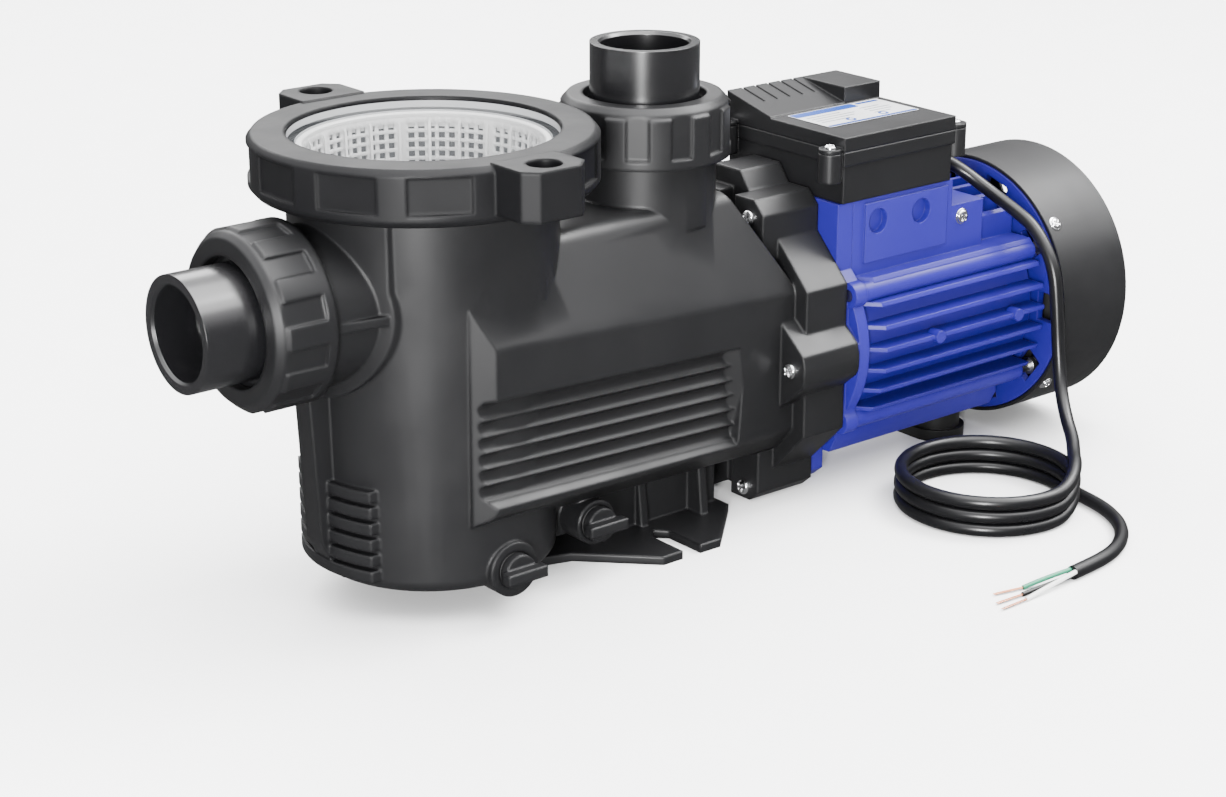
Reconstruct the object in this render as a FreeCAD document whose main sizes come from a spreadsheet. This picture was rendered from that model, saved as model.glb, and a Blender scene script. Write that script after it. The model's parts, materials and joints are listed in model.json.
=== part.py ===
"""Self-priming pool pump with a strainer pot, driven by a finned motor.

Millimetres.  +Z is up and the floor is z = 0.  +X runs from the suction port to the motor, along the
shaft, and the middle of the pump's length and width is x = 0, y = 0.
"""
import FreeCAD, Part
import Sketcher
import math
import os

doc = FreeCAD.newDocument("pool_pump")

SIZES = {
    # whole pump
    "overall_length": 620, "inlet_height": 169.3, "shaft_height": 88.8,
    "pot_to_inlet": 149, "pot_to_discharge": 146.4, "discharge_top": 276.2,
    # unions and the pipe sockets in them
    "spigot_radius": 30.15, "socket_radius": 24.15, "socket_depth": 26, "waterway_radius": 22,
    "nut_radius": 47.5, "nut_root_radius": 45.7, "nut_mouth_radius": 33.9, "nut_length": 33.3,
    "nut_lip": 5.8, "collar_radius": 38, "neck_radius": 41, "stub_radius": 42, "tail_collar": 6,
    "discharge_stub_radius": 39.5, "union_seal_radius": 33, "union_seal_cord": 3.2, "land_count": 12,
    # strainer pot
    "pot_radius": 69.3, "pot_foot_radius": 66, "pot_floor": 18, "pot_wall": 4.5, "pot_rim": 238.5,
    "pot_neck_radius": 81.5, "basket_ledge": 235, "seal_groove_radius": 76, "seal_cord": 3.2,
    # lid and lock ring
    "ring_radius": 90.5, "ring_inner_radius": 83.2, "ring_opening": 70.8, "ring_bottom": 221.5,
    "ring_top": 250.5, "ring_lip": 5.2, "lid_radius": 81.5, "lid_edge": 4.6,
    "ear_reach": 115, "ear_hole_at": 101.5, "ear_hole_radius": 9, "ear_top": 251.5, "ear_bottom": 226,
    # basket
    "basket_rim_radius": 70.2, "basket_radius": 65, "basket_foot_radius": 56, "basket_foot": 52,
    "basket_wall": 2.2,
    # tank behind the pot
    "tank_side_front": 76.1, "tank_side_rear": 46.7, "tank_top_front": 196, "tank_top_rear": 190,
    "tank_roof_end": 178, "tank_end_low": 88, "tank_low_front": 46, "tank_low_rear": 32, "tank_wall": 5,
    "tank_shoulder_front": 152, "tank_shoulder_rear": 130, "tank_roof_half_front": 53.7,
    "tank_roof_half_rear": 24, "tank_floor_half_front": 50, "tank_floor_half_rear": 33,
    "tank_front": 21, "tank_side_wall": 12, "rib_pitch": 8.7, "rib_tip_depth": 4, "rib_valley_depth": 7.5,
    # flange that joins the tank to the motor
    "flange_front": 219, "flange_rear": 250, "flange_half_width": 56.5, "flange_corner": 43.5,
    "flange_spine": 31, "flange_bevel": 69.5, "lug_front": 207.5, "lug_side": 68, "lug_high": 92.5,
    "lug_low": 88.6, "flange_bore": 50, "diffuser_front": 196,
    "screw_side": 57, "screw_out": 19.5, "screw_up": 81.5,
    # foot
    "foot_half_width": 66, "foot_plate": 5, "slot_width": 13,
    # motor
    "frame_front": 262, "frame_rear": 405, "frame_radius": 58, "frame_bore": 52, "fin_reach": 70,
    "fin_pitch": 13, "fin_thickness": 2.6, "cover_radius": 82.2, "cover_front": 408.6,
    "cover_wall": 2, "shaft_radius": 7, "rotor_radius": 27, "stator_bore": 27.6,
    # terminal box
    "box_front": 251, "box_rear": 340, "box_half_width": 50, "box_bottom": 176.5, "box_parting": 206.7,
    "box_top": 215.2, "box_raised": 225.4, "post_front": 245.5, "post_rear": 346, "post_side": 44,
    # supply cord
    "cord_radius": 4, "coil_radius": 50,
}

sheet = doc.addObject("Spreadsheet::Sheet", "Sizes")
for row, (alias, number) in enumerate(SIZES.items(), start=1):
    sheet.set(f"A{row}", alias)
    sheet.set(f"B{row}", str(number))
    sheet.setAlias(f"B{row}", alias)
doc.recompute()


class Size:
    """A length that carries its value and the sheet expression that it comes from."""

    def __init__(self, value, text):
        self.value = float(value)
        self.text = text

    def joined(self, other, sign, value):
        return Size(value, f"({self.text} {sign} {as_size(other).text})")

    def __add__(self, other):
        return self.joined(other, "+", self.value + as_size(other).value)

    def __sub__(self, other):
        return self.joined(other, "-", self.value - as_size(other).value)

    def __mul__(self, other):
        return self.joined(other, "*", self.value * as_size(other).value)

    def __truediv__(self, other):
        return self.joined(other, "/", self.value / as_size(other).value)

    def __radd__(self, other):
        return as_size(other) + self

    def __rsub__(self, other):
        return as_size(other) - self

    def __rmul__(self, other):
        return as_size(other) * self

    def __neg__(self):
        return as_size(0) - self


def as_size(thing):
    return thing if isinstance(thing, Size) else Size(thing, repr(thing))


class Sheet:
    """Sizes by name, each bound to its cell."""

    def __getattr__(self, alias):
        return Size(sheet.get(alias), f"Sizes.{alias}")


S = Sheet()
INLET_X = -S.overall_length / 2
POT_X = INLET_X + S.pot_to_inlet
FAN_END_X = S.overall_length / 2
DISCHARGE_X = POT_X + S.pot_to_discharge


def from_pot(distance):
    """X of a plane that lies this far behind the pot's axis."""
    return POT_X + distance


def bind(thing, name, size):
    """Sets a property and binds it to the sheet."""
    size = as_size(size)
    setattr(thing, name, size.value)
    if "Sizes." in size.text:
        thing.setExpression(name, size.text)


AXES = {
    "x": FreeCAD.Rotation(FreeCAD.Vector(0, 1, 0), 90),
    "y": FreeCAD.Rotation(FreeCAD.Vector(1, 0, 0), -90),
    "-y": FreeCAD.Rotation(FreeCAD.Vector(1, 0, 0), 90),
    "z": FreeCAD.Rotation(),
    "-z": FreeCAD.Rotation(FreeCAD.Vector(1, 0, 0), 180),
}


def place(thing, at, rotation):
    """Turns a piece, moves its origin to a point and binds that point to the sheet."""
    at = [as_size(size) for size in at]
    thing.Placement = FreeCAD.Placement(FreeCAD.Vector(*[size.value for size in at]), rotation)
    for name, size in zip("xyz", at):
        if "Sizes." in size.text:
            thing.setExpression(f"Placement.Base.{name}", size.text)
    return thing


def cylinder(name, radius, length, at, axis="z"):
    piece = doc.addObject("Part::Cylinder", name)
    bind(piece, "Radius", radius)
    bind(piece, "Height", length)
    return place(piece, at, AXES[axis])


def cone(name, radius, end_radius, length, at, axis="z"):
    piece = doc.addObject("Part::Cone", name)
    bind(piece, "Radius1", radius)
    bind(piece, "Radius2", end_radius)
    bind(piece, "Height", length)
    return place(piece, at, AXES[axis])


def torus(name, radius, section, at, axis="z"):
    piece = doc.addObject("Part::Torus", name)
    bind(piece, "Radius1", radius)
    bind(piece, "Radius2", section)
    return place(piece, at, AXES[axis])


def box(name, low, high, rotation=FreeCAD.Rotation()):
    """A block between two corners; a rotation turns it about its low corner."""
    piece = doc.addObject("Part::Box", name)
    for side, start, end in zip(("Length", "Width", "Height"), low, high):
        bind(piece, side, as_size(end) - start)
    return place(piece, low, rotation)


def fuse(name, pieces):
    piece = doc.addObject("Part::MultiFuse", name)
    piece.Shapes = pieces
    piece.Refine = True
    return piece


def cut(name, base, tools):
    piece = doc.addObject("Part::Cut", name)
    piece.Base = base
    piece.Tool = tools[0] if len(tools) == 1 else fuse(name + "_tools", tools)
    piece.Refine = True
    return piece


def common(name, pieces):
    piece = doc.addObject("Part::MultiCommon", name)
    piece.Shapes = pieces
    return piece


def group(name, pieces):
    """Separate solids kept as one sub-part."""
    piece = doc.addObject("Part::Compound", name)
    piece.Links = pieces
    return piece


def rounded(name, base, radius, chooses):
    """Fillets the edges whose middle point is chosen."""
    doc.recompute()
    piece = doc.addObject("Part::Fillet", name)
    piece.Base = base
    edges = []
    for number, edge in enumerate(base.Shape.Edges, start=1):
        middle = edge.valueAt((edge.FirstParameter + edge.LastParameter) / 2)
        if chooses(edge, middle):
            edges.append((number, radius, radius))
    piece.Edges = edges
    return piece


def draw(sketch, outline):
    """Draws a closed outline of straight sides whose corners are bound to the sheet."""
    corners = [(as_size(across), as_size(up)) for across, up in outline]
    vectors = [FreeCAD.Vector(across.value, up.value, 0) for across, up in corners]
    for index, start in enumerate(vectors):
        sketch.addGeometry(Part.LineSegment(start, vectors[(index + 1) % len(vectors)]), False)
    for index, (across, up) in enumerate(corners):
        following = (index + 1) % len(corners)
        sketch.addConstraint(Sketcher.Constraint("Coincident", index, 2, following, 1))
        for kind, size, axis in (("DistanceX", across, -2), ("DistanceY", up, -1)):
            if size.value == 0:
                sketch.addConstraint(Sketcher.Constraint("PointOnObject", index, 1, axis))
                continue
            number = sketch.addConstraint(Sketcher.Constraint(kind, -1, 1, index, 1, size.value))
            if "Sizes." in size.text:
                sketch.setExpression(f"Constraints[{number}]", size.text)


def new_body(name, plane):
    """A PartDesign body with an empty sketch on one of its origin planes."""
    body = doc.addObject("PartDesign::Body", name)
    sketch = body.newObject("Sketcher::SketchObject", name + "_outline")
    support = [item for item in body.Origin.OriginFeatures if item.Role == plane][0]
    sketch.AttachmentSupport = (support, [""])
    sketch.MapMode = "FlatFace"
    return body, sketch


def turned(name, outline, at, axis="z"):
    """Revolves an outline of (radius, distance along the axis) corners."""
    body, sketch = new_body(name, "XZ_Plane")
    draw(sketch, outline)
    turn = body.newObject("PartDesign::Revolution", name + "_turn")
    turn.Profile = sketch
    turn.ReferenceAxis = (sketch, ["V_Axis"])
    turn.Angle = 360
    return place(body, at, AXES[axis])


def padded(name, outline, plane, length, at, rotation=FreeCAD.Rotation()):
    """Pads an outline by a length along its plane's normal."""
    body, sketch = new_body(name, plane)
    draw(sketch, outline)
    pad = body.newObject("PartDesign::Pad", name + "_pad")
    pad.Profile = sketch
    bind(pad, "Length", length)
    pad.Reversed = plane == "XZ_Plane"
    return place(body, at, rotation)


def mirrored_y(name, base):
    """The same piece on the other side of the pump's middle plane."""
    piece = doc.addObject("Part::Mirroring", name)
    piece.Source = base
    piece.Normal = FreeCAD.Vector(0, 1, 0)
    return piece


def shaped(name, shape):
    """A sub-part whose shape is worked out here."""
    piece = doc.addObject("Part::Feature", name)
    piece.Shape = shape
    return piece


subparts = []


def finished(piece, name):
    """Names a sub-part and keeps it for export."""
    piece.Label = name
    subparts.append(piece)
    return piece


def notches(body, name, corners, start, length, count, turn=0):
    """Cuts evenly spaced pockets into a turned body; corners are (outwards, across)."""
    sketch = body.newObject("Sketcher::SketchObject", name)
    planes = {item.Role: item for item in body.Origin.OriginFeatures}
    sketch.AttachmentSupport = (planes["XY_Plane"], [""])
    sketch.MapMode = "FlatFace"
    start = as_size(start)
    sketch.AttachmentOffset = FreeCAD.Placement(FreeCAD.Vector(0, 0, start.value),
                                                FreeCAD.Rotation(FreeCAD.Vector(0, 0, 1), turn))
    if "Sizes." in start.text:
        sketch.setExpression("AttachmentOffset.Base.z", start.text)
    draw(sketch, corners)
    pocket = body.newObject("PartDesign::Pocket", name + "_pocket")
    pocket.Profile = sketch
    pocket.Reversed = True
    bind(pocket, "Length", length)
    pattern = body.newObject("PartDesign::PolarPattern", name + "_pattern")
    pattern.Originals = [pocket]
    pattern.Axis = (planes["Z_Axis"], [""])
    pattern.Angle = 360
    pattern.Occurrences = count
    body.Tip = pattern


def section(name, outline, x):
    """A free sketch across the shaft direction: its corners are (y, z)."""
    sketch = doc.addObject("Sketcher::SketchObject", name)
    draw(sketch, outline)
    return place(sketch, (x, 0, 0), FreeCAD.Rotation(0.5, 0.5, 0.5, 0.5))


def loft(name, sections):
    piece = doc.addObject("Part::Loft", name)
    piece.Sections = sections
    piece.Solid = True
    piece.Ruled = True
    return piece


def arched_path(points, share=0.45):
    """Straight runs joined by tangent arcs, each as large as its two runs allow."""
    vectors = [FreeCAD.Vector(*[as_size(number).value for number in point]) for point in points]
    edges = []
    radii = []
    start = vectors[0]
    for before, corner, after in zip(vectors, vectors[1:], vectors[2:]):
        back = (before - corner).normalize()
        ahead = (after - corner).normalize()
        half_turn = (math.pi - back.getAngle(ahead)) / 2
        reach = share * min((before - corner).Length, (after - corner).Length)
        radius = reach / math.tan(half_turn)
        middle = corner + (back + ahead).normalize() * (radius / math.cos(half_turn) - radius)
        edges.append(Part.LineSegment(start, corner + back * reach).toShape())
        edges.append(Part.Arc(corner + back * reach, middle, corner + ahead * reach).toShape())
        radii.append(radius)
        start = corner + ahead * reach
    edges.append(Part.LineSegment(start, vectors[-1]).toShape())
    return Part.Wire(edges), radii


def tube(name, points, radius):
    """A round tube along an arched path; prints its bend radii and checks its volume."""
    path, radii = arched_path(points)
    first = path.Edges[0]
    direction = first.tangentAt(first.FirstParameter)
    ring = Part.Wire(Part.Circle(first.valueAt(first.FirstParameter), direction, radius).toShape())
    shape = path.makePipeShell([ring], True, True)
    expected = math.pi * radius ** 2 * path.Length
    print(f"{name}: length {path.Length:.1f}, radii", [round(r) for r in radii],
          f"volume ratio {shape.Volume / expected:.4f}")
    return shaped(name, shape)


# ---- unions: nut, tailpiece and face seal ------------------------------------------------------

def union(prefix, inset, at, axis, turn):
    """The parts of one union, drawn from the spigot's mouth towards the pump."""
    collar_at = inset + S.nut_lip + 0.4
    neck_at = inset + S.nut_lip + 0.6 + S.tail_collar
    mouth = S.nut_mouth_radius
    root = S.nut_root_radius
    nut = turned(prefix + "_nut", [
        (mouth, inset), (root - 3.2, inset), (root, inset + 3.5), (root, inset + 4.5),
        (S.nut_radius, inset + 6), (S.nut_radius, inset + S.nut_length),
        (S.neck_radius + 0.5, inset + S.nut_length), (S.neck_radius + 0.5, inset + S.nut_lip),
        (mouth, inset + S.nut_lip)], at, axis)
    notches(nut, prefix + "_nut_slots", [(root, -6.2), (root + 6, -6.2), (root + 6, 6.2), (root, 6.2)],
            inset, S.nut_length - 5.5, SIZES["land_count"], turn)
    finished(nut, prefix + "_nut")
    tailpiece = turned(prefix + "_tailpiece", [
        (S.socket_radius + 1.3, 0), (S.spigot_radius, 0), (S.spigot_radius, collar_at),
        (S.collar_radius, collar_at), (S.collar_radius, neck_at), (S.waterway_radius, neck_at),
        (S.waterway_radius, S.socket_depth), (S.socket_radius, S.socket_depth), (S.socket_radius, 1.6)],
        at, axis)
    finished(tailpiece, prefix + "_tailpiece")
    seal_depth = neck_at + S.union_seal_cord / 2 + 0.1
    offset = {"x": (seal_depth, 0), "-z": (0, -seal_depth)}[axis]
    seal_at = (at[0] + offset[0], 0, at[2] + offset[1])
    finished(torus(prefix + "_union_seal", S.union_seal_radius, S.union_seal_cord / 2, seal_at, axis),
             prefix + "_union_seal")
    inner, outer = S.union_seal_radius - 1.9, S.union_seal_radius + 1.9
    groove_floor_at = neck_at + S.union_seal_cord + 0.2
    groove = turned(prefix + "_seal_groove", [
        (inner, neck_at - 0.1), (outer, neck_at - 0.1), (outer, groove_floor_at), (inner, groove_floor_at)],
        at, axis)
    return neck_at, groove


INLET_AT = (INLET_X, 0, S.inlet_height)
DISCHARGE_AT = (DISCHARGE_X, 0, S.discharge_top)
inlet_neck, inlet_groove = union("inlet", as_size(30), INLET_AT, "x", 13)
discharge_neck, discharge_groove = union("discharge", as_size(28), DISCHARGE_AT, "-z", 14)


# ---- pump casing -------------------------------------------------------------------------------

SHAFT = S.shaft_height
FLANGE_LENGTH = S.flange_rear - S.flange_front
LUG_LENGTH = S.flange_rear - S.lug_front
SPINE = S.flange_spine

POT_TAPER_TOP = 205
pot_blank = turned("pot_blank", [
    (0, S.pot_floor), (S.pot_foot_radius, S.pot_floor), (S.pot_radius, POT_TAPER_TOP),
    (S.pot_radius, S.ring_bottom + 0.5), (S.pot_neck_radius, S.ring_bottom + 4),
    (S.pot_neck_radius, S.pot_rim), (0, S.pot_rim)], (POT_X, 0, 0))
pot_outside = rounded("pot_outside", pot_blank, 8,
                      lambda edge, middle: abs(middle.z - SIZES["pot_floor"]) < 0.01 and edge.Length > 300)
pot_hollow = turned("pot_hollow", [
    (0, S.pot_floor + S.pot_wall), (S.pot_foot_radius - S.pot_wall, S.pot_floor + S.pot_wall),
    (S.pot_radius - S.pot_wall, POT_TAPER_TOP), (66.5, S.basket_ledge),
    (S.basket_rim_radius + 0.8, S.basket_ledge),
    (S.basket_rim_radius + 0.8, S.pot_rim + 1), (0, S.pot_rim + 1)], (POT_X, 0, 0))
rim_groove = turned("rim_groove", [
    (S.seal_groove_radius - 1.9, S.pot_rim - 2.2), (S.seal_groove_radius + 1.9, S.pot_rim - 2.2),
    (S.seal_groove_radius + 1.9, S.pot_rim + 1), (S.seal_groove_radius - 1.9, S.pot_rim + 1)], (POT_X, 0, 0))


def tank_section(name, end, x, wall, side_wall):
    """An eight-sided section of the tank, moved inwards by the walls where it is for the hollow."""
    side, top, low, shoulder, roof_half, floor_half = [
        getattr(S, f"tank_{measure}_{end}")
        for measure in ("side", "top", "low", "shoulder", "roof_half", "floor_half")]
    side = side - side_wall
    top = top - wall
    low = low + wall
    roof_half = roof_half - wall * 0.7
    floor_half = floor_half - wall * 0.5
    return section(name, [
        (-floor_half, low), (floor_half, low), (side, low + 16), (side, shoulder),
        (roof_half, top), (-roof_half, top), (-side, shoulder), (-side, low + 16)], x)


def tank(name, rear_x, wall=0, side_wall=0):
    return loft(name, [tank_section(name + "_front", "front", from_pot(-S.tank_front), wall, side_wall),
                       tank_section(name + "_rear", "rear", from_pot(rear_x), wall, side_wall)])


def roof_slope(name, wall):
    """What lies above the slope from the end of the roof down to the flange."""
    above = 230
    half_width = 80
    return padded(name, [
        (S.tank_roof_end - wall, S.tank_top_front - wall), (S.flange_rear, S.tank_end_low - wall),
        (S.flange_rear, above), (S.tank_roof_end - wall, above)],
        "XZ_Plane", 2 * half_width, (POT_X, -half_width, 0))


def runs_along_tank(edge, middle):
    return edge.Length > 150


tank_blank = tank("tank_blank", S.flange_front)
tank_rounded = rounded("tank_rounded", tank_blank, 9, runs_along_tank)
tank_outside = cut("tank_outside", tank_rounded, [roof_slope("roof_slope", as_size(0))])
tank_space = tank("tank_space", S.diffuser_front - 0.2, S.tank_wall, S.tank_side_wall)
tank_hollow = cut("tank_hollow", tank_space, [pot_outside, roof_slope("inner_roof_slope", S.tank_wall)])

flange_plate = padded("flange_plate", [
    (S.flange_half_width, SHAFT - S.flange_corner), (S.flange_half_width, SHAFT + S.flange_corner),
    (SPINE, SHAFT + S.flange_bevel), (-SPINE, SHAFT + S.flange_bevel),
    (-S.flange_half_width, SHAFT + S.flange_corner), (-S.flange_half_width, SHAFT - S.flange_corner),
    (-SPINE, SHAFT - S.flange_bevel), (SPINE, SHAFT - S.flange_bevel)],
    "YZ_Plane", FLANGE_LENGTH, (from_pot(S.flange_front), 0, 0))


def spine_outline(high, low, half):
    """A tall plate with bevelled corners around the shaft line."""
    return [(-half, SHAFT - low + 6), (-half + 7, SHAFT - low),
            (half - 7, SHAFT - low), (half, SHAFT - low + 6),
            (half, SHAFT + high - 8), (half - 8, SHAFT + high),
            (-half + 8, SHAFT + high), (-half, SHAFT + high - 8)]


flange_spine = padded("flange_spine", spine_outline(S.lug_high, S.lug_low, SPINE), "YZ_Plane", FLANGE_LENGTH,
                      (from_pot(S.flange_front), 0, 0))
flange_crest = padded("flange_crest", [
    (-8, SHAFT + 90), (2, SHAFT + 103), (24, SHAFT + 103), (34, SHAFT + 90)],
    "YZ_Plane", FLANGE_LENGTH, (from_pot(S.flange_front), 0, 0))


def lug(name, outline):
    """A screw lug on one side and its mirror image."""
    piece = padded(name, outline, "YZ_Plane", LUG_LENGTH, (from_pot(S.lug_front), 0, 0))
    return [piece, mirrored_y(name + "_far", piece)]


lugs = lug("top_lug", [
    (-SPINE, SHAFT + 57), (-SPINE, SHAFT + S.lug_high - 8), (-SPINE + 8, SHAFT + S.lug_high),
    (-7, SHAFT + S.lug_high), (-7, SHAFT + 66)])
lugs += lug("side_lug", [
    (-44, SHAFT - 26), (-49, SHAFT - 23.5), (2 - S.lug_side, SHAFT - 9), (-S.lug_side, SHAFT - 5),
    (-S.lug_side, SHAFT + 4), (1.5 - S.lug_side, SHAFT + 10.3), (-48, SHAFT + 26), (-44, SHAFT + 26)])
lugs += lug("bottom_lug", [
    (-SPINE, SHAFT - 57), (-SPINE, SHAFT - S.lug_low + 6), (-SPINE + 7, SHAFT - S.lug_low),
    (-8, SHAFT - S.lug_low), (-8, SHAFT - 66)])

SCREW_OFFSETS = ((S.screw_side, as_size(0)), (S.screw_out, S.screw_up), (S.screw_out, -S.screw_up))
SCREWS = [(side * across, SHAFT + up) for side in (-1, 1) for across, up in SCREW_OFFSETS]


def flange_holes(name, start, length):
    return [cylinder(f"{name}_{index}", 2.75, length, (from_pot(start), y, z), "x")
            for index, (y, z) in enumerate(SCREWS)]


inlet_port = [cylinder("inlet_neck", S.neck_radius, 30, (INLET_X + inlet_neck, 0, S.inlet_height), "x"),
              cylinder("inlet_stub", S.stub_radius, 45, (from_pot(-84), 0, S.inlet_height), "x")]
pad_round = cylinder("pad_round", 48, 50, (from_pot(-80), 0, S.inlet_height), "x")
pad_block = box("pad_block", (from_pot(-80), -46, S.inlet_height), (from_pot(-30), 46, S.ring_bottom + 1))
pad_skin = cylinder("pad_skin", S.pot_radius + 2.6, 120, (POT_X, 0, 105))
inlet_pad = common("inlet_pad", [fuse("pad_face", [pad_round, pad_block]), pad_skin])
inlet_web = padded("inlet_web", [
    (-82, -S.stub_radius), (-52, -47), (-44, -40), (-44, 40), (-52, 47), (-82, S.stub_radius)],
    "XY_Plane", 5, (POT_X, 0, 166.5))
keel = padded("keel", [
    (-48, S.pot_floor + 1), (-58, S.pot_floor), (-63, S.pot_floor + 1.5), (-69, 28),
    (-75.5, 42), (-79.5, 122), (-60, 130), (-48, 130)], "XZ_Plane", 14, (POT_X, -7, 0))
grille_skin = cylinder("grille_skin", S.pot_radius + 2, 60, (POT_X, 0, 24))
GRILLE_PITCH = 8.85
grille_bars = [box(f"grille_bar_{index}", (from_pot(-76), -34, 25 + GRILLE_PITCH * index),
                   (from_pot(-52), 34, 31.2 + GRILLE_PITCH * index)) for index in range(6)]
grille = common("grille", [fuse("grille_block", grille_bars), grille_skin])

DRAINS = {"front_drain": (from_pot(3), as_size(-69), as_size(27)),
          "rear_drain": (from_pot(70), as_size(-53), as_size(31))}
BOSS_RADII = {"front_drain": 15, "rear_drain": 12.5}
drain_bosses = [box("sump", (from_pot(54), -36, 21), (from_pot(86), 36, 55))]
drain_holes = []
for name, (x, y, z) in DRAINS.items():
    drain_bosses.append(cylinder(name + "_boss", BOSS_RADII[name], 20, (x, y + 20, z), "-y"))
    drain_holes.append(cylinder(name + "_hole", 7.2, 26, (x, y + 25, z), "-y"))
    drain_holes.append(cylinder(name + "_seal_seat", 9.9, 3.6, (x, y + 2.6, z), "-y"))

discharge_port = [cylinder("discharge_stub", S.discharge_stub_radius, 40, (DISCHARGE_X, 0, 178)),
                  cylinder("discharge_neck", S.neck_radius, S.discharge_top - discharge_neck - 217.5,
                           (DISCHARGE_X, 0, 217.5))]

# The ribbed recess is drawn square to the tank's side: y runs inwards from its face, z up from the top rib.
TANK_LENGTH = SIZES["tank_front"] + SIZES["flange_front"]
TANK_TAPER = math.degrees(math.atan((SIZES["tank_side_front"] - SIZES["tank_side_rear"]) / TANK_LENGTH))
RIB_FALL = 5
RIB_COUNT = 6
RIB_TOP = (from_pot(-S.tank_front), -S.tank_side_front, 114.6)
along_ribs = FreeCAD.Rotation(TANK_TAPER, RIB_FALL, 0)
tip, valley, pitch = S.rib_tip_depth, S.rib_valley_depth, S.rib_pitch
rib_outline = [(-6, pitch + 2), (0, pitch + 2), (tip + 1.5, pitch + 0.5), (valley, pitch - 2.5),
               (valley, 4.2), (tip + 2.2, 1.4), (tip, 0)]
for index in range(1, RIB_COUNT):
    top = pitch * (1 - index)
    rib_outline += [(tip + 2.2, top - 1), (valley, top - 2.8), (valley, top - 5.2), (tip + 2.2, top - 7.6),
                    (tip, top - pitch)]
lowest_rib = pitch * (1 - RIB_COUNT)
rib_outline += [(tip, lowest_rib - 1), (0, lowest_rib - 4), (-6, lowest_rib - 4)]
rib_recess = padded("rib_recess", rib_outline, "YZ_Plane", 200, RIB_TOP, along_ribs)
RECESS_END_SLANT = -12.7
recess_end = FreeCAD.Rotation(FreeCAD.Vector(0, 1, 0), RECESS_END_SLANT)
recess_room = padded("recess_room", [(-80, -9), (225, -9), (208, 8.5), (-80, 8.5)], "XY_Plane", 240,
                     (from_pot(-S.tank_front), -S.tank_side_front, -60), along_ribs.multiply(recess_end))
side_recess = common("side_recess", [rib_recess, recess_room])
tank_corner = padded("tank_corner", [(-30, -64), (-21, -66), (-9.5, -76), (-9.5, -90), (-30, -90)],
                     "XY_Plane", 200, (POT_X, 0, 20))
tank_sides = [side_recess, mirrored_y("side_recess_far", side_recess),
              tank_corner, mirrored_y("tank_corner_far", tank_corner)]
ribbed_tank = cut("ribbed_tank", tank_outside, tank_sides)

seal_bore = cylinder("seal_bore", S.flange_bore, 36, (from_pot(S.flange_rear - 35), 0, SHAFT), "x")
diffuser_room = cylinder("diffuser_room", 41, 30, (from_pot(S.diffuser_front - 2), 0, SHAFT), "x")
flange_groove = turned("flange_groove", [(51, -2.4), (54.2, -2.4), (54.2, 1), (51, 1)],
                       (from_pot(S.flange_rear), 0, SHAFT), "x")
WATERWAY_BORE = 26
waterways = [
    cylinder("inlet_waterway", WATERWAY_BORE, 80, (INLET_X + inlet_neck - 1, 0, S.inlet_height), "x"),
    cylinder("discharge_waterway", WATERWAY_BORE, 60, (DISCHARGE_X, 0, 183)),
    cylinder("pot_outlet", 20, 40, (from_pot(45), 0, 95), "x")]
hollows = [pot_hollow, rim_groove, tank_hollow, inlet_groove, discharge_groove, seal_bore, diffuser_room,
           flange_groove]
screw_holes = flange_holes("casing_screw_hole", S.lug_front - 1, LUG_LENGTH + 2)
plain_parts = [pot_outside, ribbed_tank, flange_plate, flange_spine, flange_crest, inlet_pad, inlet_web,
               keel, grille]
shell = fuse("casing_outside", plain_parts + lugs + inlet_port + discharge_port + drain_bosses)
finished(cut("pump_casing", shell, hollows + waterways + screw_holes + drain_holes), "pump_casing")

finished(torus("lid_seal", S.seal_groove_radius, S.seal_cord / 2, (POT_X, 0, S.pot_rim - 0.4)), "lid_seal")
finished(torus("flange_seal", 52.6, 1.2, (from_pot(S.flange_rear - 1.2), 0, SHAFT), "x"), "flange_seal")


# ---- drain plugs -------------------------------------------------------------------------------

for name, (x, y, z) in DRAINS.items():
    stem = cylinder(name + "_stem", 6.6, 16, (x, y + 15.4, z), "-y")
    head = cylinder(name + "_head", 9.6, 5, (x, y - 0.6, z), "-y")
    bar = box(name + "_bar", (x - 12.5, y - 12, z - 3), (x + 12.5, y - 5.6, z + 3))
    finished(fuse(name + "_plug", [stem, head, bar]), name + "_plug")
    finished(torus(name + "_seal", 8.6, 1.1, (x, y + 1.3, z), "-y"), name + "_seal")


# ---- lid, lock ring and basket -----------------------------------------------------------------

ring_turned = turned("ring_turned", [
    (S.ring_opening, S.ring_top), (S.ring_radius - 2.5, S.ring_top), (S.ring_radius, S.ring_top - 3),
    (S.ring_radius, S.ring_bottom + 3), (S.ring_radius - 2.5, S.ring_bottom),
    (S.ring_inner_radius, S.ring_bottom), (S.ring_inner_radius, S.ring_top - S.ring_lip),
    (S.ring_opening, S.ring_top - S.ring_lip)], (POT_X, 0, 0))
notches(ring_turned, "ring_panels", [(88, -16), (95, -16), (95, 16), (88, 16)], 228, 18.5,
        SIZES["land_count"])
ears = []
ear_holes = []
for side in (-1, 1):
    reach = side * S.ear_reach
    ears.append(padded(f"ear_{side}", [
        (-19.5, side * 84), (19.5, side * 84), (19.5, reach - side * 7), (12.5, reach), (-12.5, reach),
        (-19.5, reach - side * 7)], "XY_Plane", S.ear_top - S.ear_bottom, (POT_X, 0, S.ear_bottom)))
    ear_holes.append(cylinder(f"ear_hole_{side}", S.ear_hole_radius, 20,
                              (POT_X, side * S.ear_hole_at, S.ear_top - 16)))
finished(cut("lock_ring", fuse("ring_with_ears", [ring_turned] + ears), ear_holes), "lock_ring")

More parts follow.
